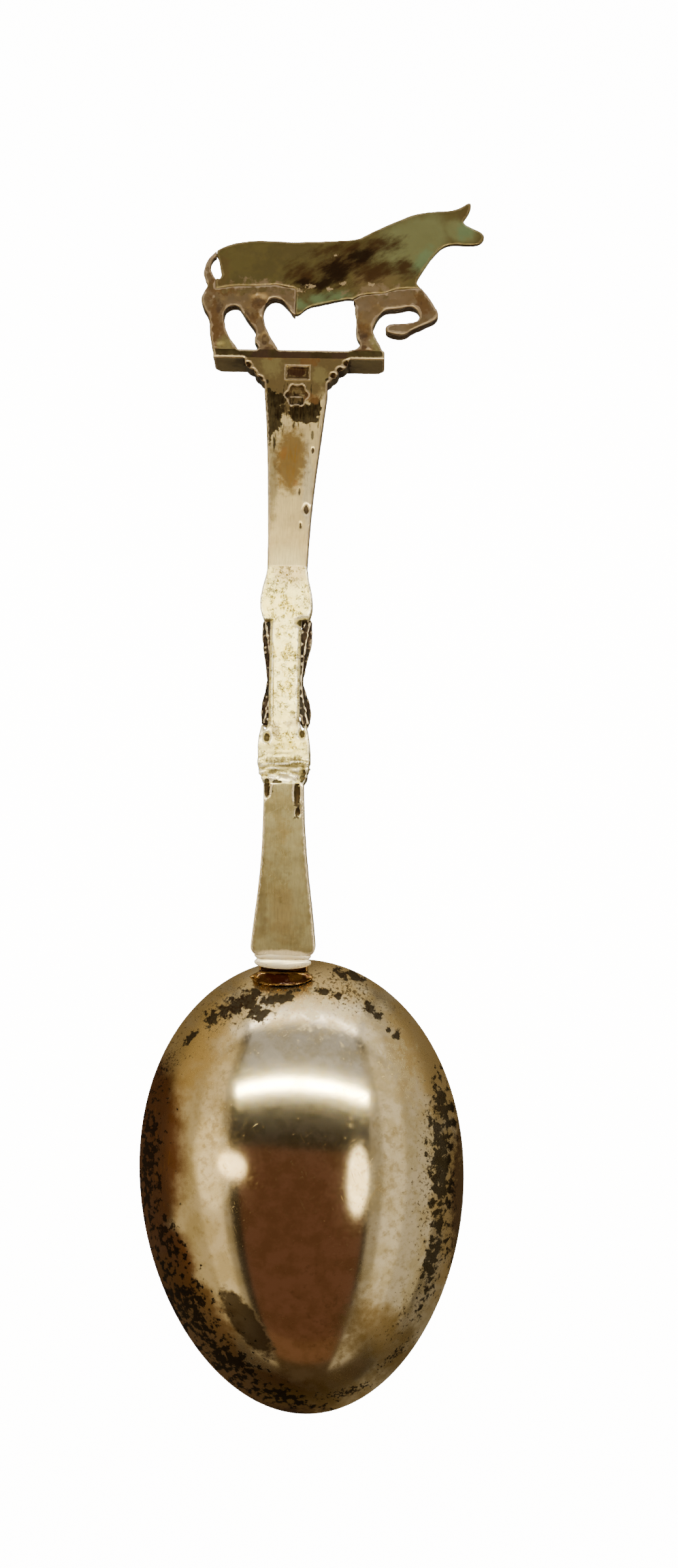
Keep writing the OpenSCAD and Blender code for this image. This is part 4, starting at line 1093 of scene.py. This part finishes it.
class SPOON_OT_ornament(bpy.types.Operator):
    """Build the baluster and the two scrolls in front of the knop's strap"""
    bl_idname = "spoon.ornament"
    bl_label = "Knop ornament"

    def execute(self, context):
        sizes = context.scene.spoon_handle
        colours = context.scene.spoon_colours
        length = STRAP_HIGH[1] - STRAP_LOW[1]
        low, high = corners("baluster")
        material = oxide_and_shade_finish(colours)
        mesh = grown(baluster_tree(material), {
            "Length": length * MM, "End radius": (high[0] - low[0]) / 2 * MM,
            "Waist radius": 1.1 * MM, "Waist at": 0.4, "Ring height": 0.16 * MM,
            "Rings": sizes.beads})
        axis_z = low[2] + (high[0] - low[0]) / 2
        mesh.transform(Matrix.Translation((STEM_X, STRAP_LOW[1], axis_z))
                       @ Matrix.Scale(1 / MM, 4))
        move_points(mesh, bowed(points(mesh)[0]))
        note_wear_and_side_shade(mesh)
        shown(mesh, "baluster_turning", material, ["baluster"])
        for side, node in ((-1, "scroll_left"), (1, "scroll_right")):
            low, high = corners(node)
            outer = max(abs(low[0] - STEM_X), abs(high[0] - STEM_X)) - sizes.band / MM / 2
            worn_in = 0.35 if side < 0 else 0.0         # the left scroll is pushed in by wear
            material = oxide_and_shade_finish(colours, "Oxidised silver scroll")
            mesh = grown(scroll_tree(material), {
                "Band": sizes.band, "Thickness": (high[2] - low[2]) * MM,
                "Lobe": sizes.lobe, "Lobes": sizes.lobes},
                base=scroll_path(side, 1.65, outer - worn_in, length))
            mesh.transform(Matrix.Translation((STEM_X, STRAP_LOW[1], (low[2] + high[2]) / 2))
                           @ Matrix.Scale(1 / MM, 4))
            whole = bmesh.new()
            whole.from_mesh(mesh)
            cast = welded([node])
            cast.transform(Matrix.Translation((-side * worn_in, 0, 0)))
            whole.from_mesh(cast)
            whole.to_mesh(mesh)
            whole.free()
            mesh = recast(mesh, 0.09, 2)
            place, facing = points(mesh)
            place += facing * (0.10 * lumps(place, 0.5, 21 + side))[:, None]
            move_points(mesh, bowed(place))
            note_wear_and_side_shade(mesh)
            shown(mesh, node + "_casting", material, [node])
        return {"FINISHED"}


# ---- The cow's body ----
def sheet_finish(colours):
    """Toned sheet silver: matt olive with a green bloom on neck, head and belly, dark brown
    blotches over the shoulder, and pale specks of solder along its lower edge."""
    return silver_skin(
        "Toned sheet silver", tuple(colours.sheet), "#524a2b", 0.42, 0.75, [
            patch([(14.35, 70.8, 7, 4.6, 28), (20.4, 72.6, 3, 2, -20)], "#6f7350", 0.42, 0.75,
                  body=1.5, ragged=1.0, soft=0.8, strength=0.92, grain="coarse"),
            patch([(21.25, 72.8, 1.6, 1.9, -30), (15.85, 68.6, 1.5, 2.6, -30),
                   (3.75, 63.4, 4.2, 1.2, 8), (0.25, 62.4, 1.6, 1.0, -20)], "#64795a", 0.4, 0.75,
                  body=1.1, ragged=1.2, soft=0.8, strength=0.8),
            patch([(9.85, 65.6, 5.6, 2.2)], "#6d5f40", 0.45, 0.7, body=1.1, ragged=1.6, soft=0.8,
                  strength=0.8, grain="coarse"),
            patch([(5.05, 67.4, 4.6, 3.4, 20), (9.6, 70.2, 3.6, 1.6, 15),
                   (13.2, 67.4, 2.2, 1.3, -15), (0.6, 66.2, 2.6, 2.4), (9.6, 67.0, 4.0, 1.7, 30),
                   (6.05, 69.9, 3.0, 1.3, 10)], "#38240e", 0.5, 0.85, body=0.9, ragged=2.6,
                  soft=1.1, strength=0.94, grain="slanting", half=1.3),
            patch([(4.9, 66.9, 2.6, 2.0, 30), (3.65, 65.4, 2.2, 0.9, 20), (0.55, 65.2, 1.6, 0.7),
                   (7.85, 69.2, 2.2, 1.0, 20)], "#1a0c03", 0.5, 0.9, body=1.0, ragged=2.8,
                  soft=0.9, strength=0.88, grain="slanting", half=1.2),
            patch([(-4.5, 64.7, 4.2, 0.9, -6), (9.5, 64.5, 3.4, 0.8, 6)], "#7d6d58", 0.4, 0.8,
                  body=0.8, ragged=3.6, soft=0.6, strength=0.85),
            patch([(-9.75, 66.6, 1.2, 3.8), (-8.35, 64.6, 2.6, 0.8),
                   (21.05, 75.0, 1.0, 1.6, -20)], "#57492a", 0.48, 0.7, body=1.0, ragged=1.6,
                  soft=0.7, strength=0.75),
            patch([(-2.05, 64.6, 2.6, 0.32, -8), (1.55, 64.9, 0.7, 0.3), (3.85, 64.5, 0.45, 0.3),
                   (5.65, 65.3, 0.45, 0.3), (9.25, 65.2, 0.35, 0.3), (4.55, 69.0, 0.4, 0.2, 30)],
                  "#b5a383", 0.34, 0.9, body=0.9, ragged=3.4, soft=0.4, strength=0.85,
                  grain="fine")],
        # side colour: upright faces painted darker, partly tarnish and partly painted shade
        worn="#a99a7c", worn_share=0.3, sunk="#1c1206", sunk_share=0.6, side="#33260f",
        side_tarnish_and_shade_share=0.85, bump=0.008, scratches=0.25)


FEATURES = [  # x, y, rx, ry, depth on the cow's front: a minus depth stands out
    (-6.65, 68.0, 3.4, 4.0, -0.35), (12.05, 68.5, 3.2, 4.2, -0.35), (2.85, 66.5, 5.0, 3.6, -0.25),
    (20.05, 73.1, 0.5, 0.45, -0.4), (20.05, 73.1, 0.9, 0.2, 0.12), (22.85, 72.3, 0.25, 0.2, 0.25),
    (22.45, 71.1, 1.3, 0.12, 0.2), (18.45, 74.2, 0.9, 0.5, -0.4), (17.45, 71.6, 0.5, 2.2, 0.2),
    (-2.75, 66.8, 0.5, 3.0, 0.25), (7.85, 66.4, 0.5, 2.6, 0.25)]


class SPOON_OT_body(bpy.types.Operator):
    """Build the cow's flat-backed body with its rounded front"""
    bl_idname = "spoon.body"
    bl_label = "Cow's body"

    def execute(self, context):
        sizes = context.scene.spoon_handle
        mesh = recast(welded(["body_plate", "body_relief"]), sizes.grain / MM, 2)
        place, facing = points(mesh)
        up = np.array(Matrix.Rotation(-sizes.upper_tilt, 3, "X"))
        bar = (place - HINGE) @ up
        outwards = (facing @ up)[:, 2]
        rounded_front(bar, (np.abs(outwards) < 0.5) & (bar[:, 2] > FRONT_SKIN),
                      bar[:, 2] < -0.6, 4.5, 0.7)
        place = bar @ up.T + HINGE
        uneven = np.where(outwards > 0.3, 0.02, 0.07)       # the back is a flat sheet
        place += facing * (uneven * lumps(place, 2.2, 31) + 0.01 * lumps(place, 0.7, 32))[:, None]
        place = pressed(place, facing, FEATURES, side=-1)
        move_points(mesh, place)
        note_wear_and_side_shade(mesh)
        shown(mesh, "cow_body", sheet_finish(context.scene.spoon_colours),
              ["body_plate", "body_relief"])
        return {"FINISHED"}


# ---- The stage ----
BOWL_TOP = Vector((0, (BOWL_LOW[1] + BOWL_HIGH[1]) / 2 * MM, BOWL_HIGH[2] * MM))
UP, DOWN, LEFT, RIGHT, NEAR, FAR = ((0, 0, 1), (0, 0, -1), (-1, 0, 0), (1, 0, 0), (0, -1, 0),
                                    (0, 1, 0))

LIGHTS = [  # name, middle in metres, width, depth, brightness, colour, where it faces
    ("Upper strip", (0, 0.037, 0.13), 0.24, 0.008, 68.0, "#fff0c0", None),
    ("Lower strip", (0, 0.185, 0.13), 0.29, 0.013, 6.5, "#fff3dd", None),
    ("Right window", (0.095, -0.051, 0.14), 0.066, 0.036, 4.4, "#ffe9b6", None),
    ("Left window", (-0.129, -0.045, 0.14), 0.026, 0.06, 4.0, "#ffe2a8", None),
    ("Left glow", (-0.45, -0.05, 0.3), 0.26, 0.24, 0.5, "#ffe8b4", None),
    ("Top card", (0, 1.17, 0.5), 2.2, 0.9, 0.75, "#efe4cf", DOWN),
    ("Grey card", (0, 0.53, 0.5), 0.95, 0.46, 0.62, "#e4ddd2", DOWN),
    ("Right card", (0.775, -0.7, 0.5), 0.65, 2.6, 0.46, "#efdcb4", DOWN),
    ("Left card", (-0.8, -0.7, 0.5), 0.6, 2.6, 0.42, "#f0d8a8", DOWN),
    ("Blue band", (0, 0.16, 0.5), 0.9, 0.2, 0.01, "#86a0cc", DOWN),
    ("Brown card", (0, -0.72, 0.5), 0.8, 1.5, 0.23, "#b56e48", DOWN),
    ("Right wall", (0.6, 0, 0.25), 1.6, 0.5, 0.62, "#f5e3bd", LEFT),
    ("Left wall", (-0.6, 0, 0.25), 1.6, 0.5, 0.62, "#f3d698", RIGHT),
    ("Far wall", (0, 0.9, 0.25), 1.2, 0.5, 0.95, "#f3e6c8", NEAR),
    ("Near wall", (0, -0.9, 0.25), 1.2, 0.5, 0.12, "#a8824e", FAR),
    ("Table glow", (0, 0, -0.03), 1.4, 1.4, 0.2, "#f2dfb8", UP)]


SWEEP = ((0, 0), (1.4, 0), (1.6, 0.03), (1.8, 0.12), (1.95, 0.3), (2.0, 0.6), (2.0, 3.0))
FLOOR_GAP = 0.0001                  # the floor lies this far below the rim
EYE = (0.0085062, -0.0221749, 0.2660)
EYE_TURN = (5.136774, 0.990502, 1.207687)       # degrees
FOCAL, FILM = 48.39, 36             # millimetres; the film is upright


def softbox(name, place, wide, deep, bright, colour, faces):
    """A plain rectangle of soft light that faces one way, or the bowl's top."""
    light = bpy.data.lights.new(name, "AREA")
    light.shape = "ELLIPSE" if "indow" in name or "glow" in name else "RECTANGLE"
    light.size, light.size_y = wide, deep
    light.energy = bright * math.pi * wide * deep
    light.color = linear(colour)[:3]
    lamp = bpy.data.objects.new(name, light)
    bpy.context.scene.collection.objects.link(lamp)
    lamp.location = place
    away = -Vector(faces) if faces else Vector(place) - BOWL_TOP
    lamp.rotation_euler = away.to_track_quat("Z", "Y").to_euler()
    lamp.visible_camera = False


class SPOON_OT_stage(bpy.types.Operator):
    """Build the pale floor, the soft lights and the camera"""
    bl_idname = "spoon.stage"
    bl_label = "Stage"

    def execute(self, context):
        scene = context.scene
        world = bpy.data.worlds.new("Dim warm room")
        scene.world = world
        world.use_nodes = True
        world.node_tree.nodes["Background"].inputs["Color"].default_value = linear("#6e5c48")
        world.node_tree.nodes["Background"].inputs["Strength"].default_value = 0.22

        floor_mesh = bpy.data.meshes.new("floor")
        work = bmesh.new()
        profile = [work.verts.new((r, 0, z - FLOOR_GAP)) for r, z in SWEEP]
        edges = [work.edges.new(pair) for pair in zip(profile, profile[1:])]
        bmesh.ops.spin(work, geom=profile + edges, axis=(0, 0, 1), cent=(0, 0, 0), steps=64,
                       angle=2 * math.pi)
        bmesh.ops.remove_doubles(work, verts=work.verts, dist=1e-5)
        bmesh.ops.recalc_face_normals(work, faces=work.faces)
        bmesh.ops.reverse_faces(work, faces=work.faces)
        work.to_mesh(floor_mesh)
        work.free()
        paper = bpy.data.materials.new("Pale seamless paper")
        paper.use_nodes = True
        shader = paper.node_tree.nodes["Principled BSDF"]
        shader.inputs["Base Color"].default_value = linear("#f4f4f2")
        shader.inputs["Roughness"].default_value = 0.9
        shader.inputs["Emission Color"].default_value = (1, 1, 1, 1)
        shader.inputs["Emission Strength"].default_value = 14.0
        floor_mesh.materials.append(paper)
        floor_mesh.shade_smooth()
        floor = link(floor_mesh, "floor")
        floor.visible_glossy = floor.visible_diffuse = floor.visible_shadow = False

        for light in LIGHTS:
            softbox(*light)

        lens = bpy.data.cameras.new("Camera")
        lens.sensor_fit = "VERTICAL"
        lens.sensor_height = FILM
        lens.lens = FOCAL
        lens.clip_start = 0.01
        camera = bpy.data.objects.new("Camera", lens)
        scene.collection.objects.link(camera)
        camera.location = EYE
        camera.rotation_euler = [math.radians(a) for a in EYE_TURN]
        scene.camera = camera
        return {"FINISHED"}


class SPOON_PT_panel(bpy.types.Panel):
    """Lists the spoon's pieces and sizes"""
    bl_idname = "SPOON_PT_panel"
    bl_label = "Souvenir spoon"
    bl_space_type = "VIEW_3D"
    bl_region_type = "UI"
    bl_category = "Spoon"

    def draw(self, context):
        for name in STEPS:
            self.layout.operator("spoon." + name)
        for group in ("spoon_bowl", "spoon_handle", "spoon_colours"):
            settings = getattr(context.scene, group)
            box = self.layout.box()
            for key in settings.bl_rna.properties.keys():
                if key not in ("rna_type", "name"):
                    box.prop(settings, key)


STEPS = ["stage", "bowl", "neck", "handle", "ornament", "body"]
GROUPS = {"spoon_bowl": SpoonBowlSizes, "spoon_handle": SpoonHandleSizes,
          "spoon_colours": SpoonColours}
CLASSES = [SpoonBowlSizes, SpoonHandleSizes, SpoonColours, SPOON_OT_stage, SPOON_OT_bowl,
           SPOON_OT_neck, SPOON_OT_handle, SPOON_OT_ornament, SPOON_OT_body, SPOON_PT_panel]


def register():
    for cls in CLASSES:
        bpy.utils.register_class(cls)
    for name, group in GROUPS.items():
        setattr(bpy.types.Scene, name, PointerProperty(type=group))


def unregister():
    for name in GROUPS:
        delattr(bpy.types.Scene, name)
    for cls in reversed(CLASSES):
        bpy.utils.unregister_class(cls)


def main():
    register()
    for name in STEPS:
        getattr(bpy.ops.spoon, name)()


if __name__ == "__main__":
    main()
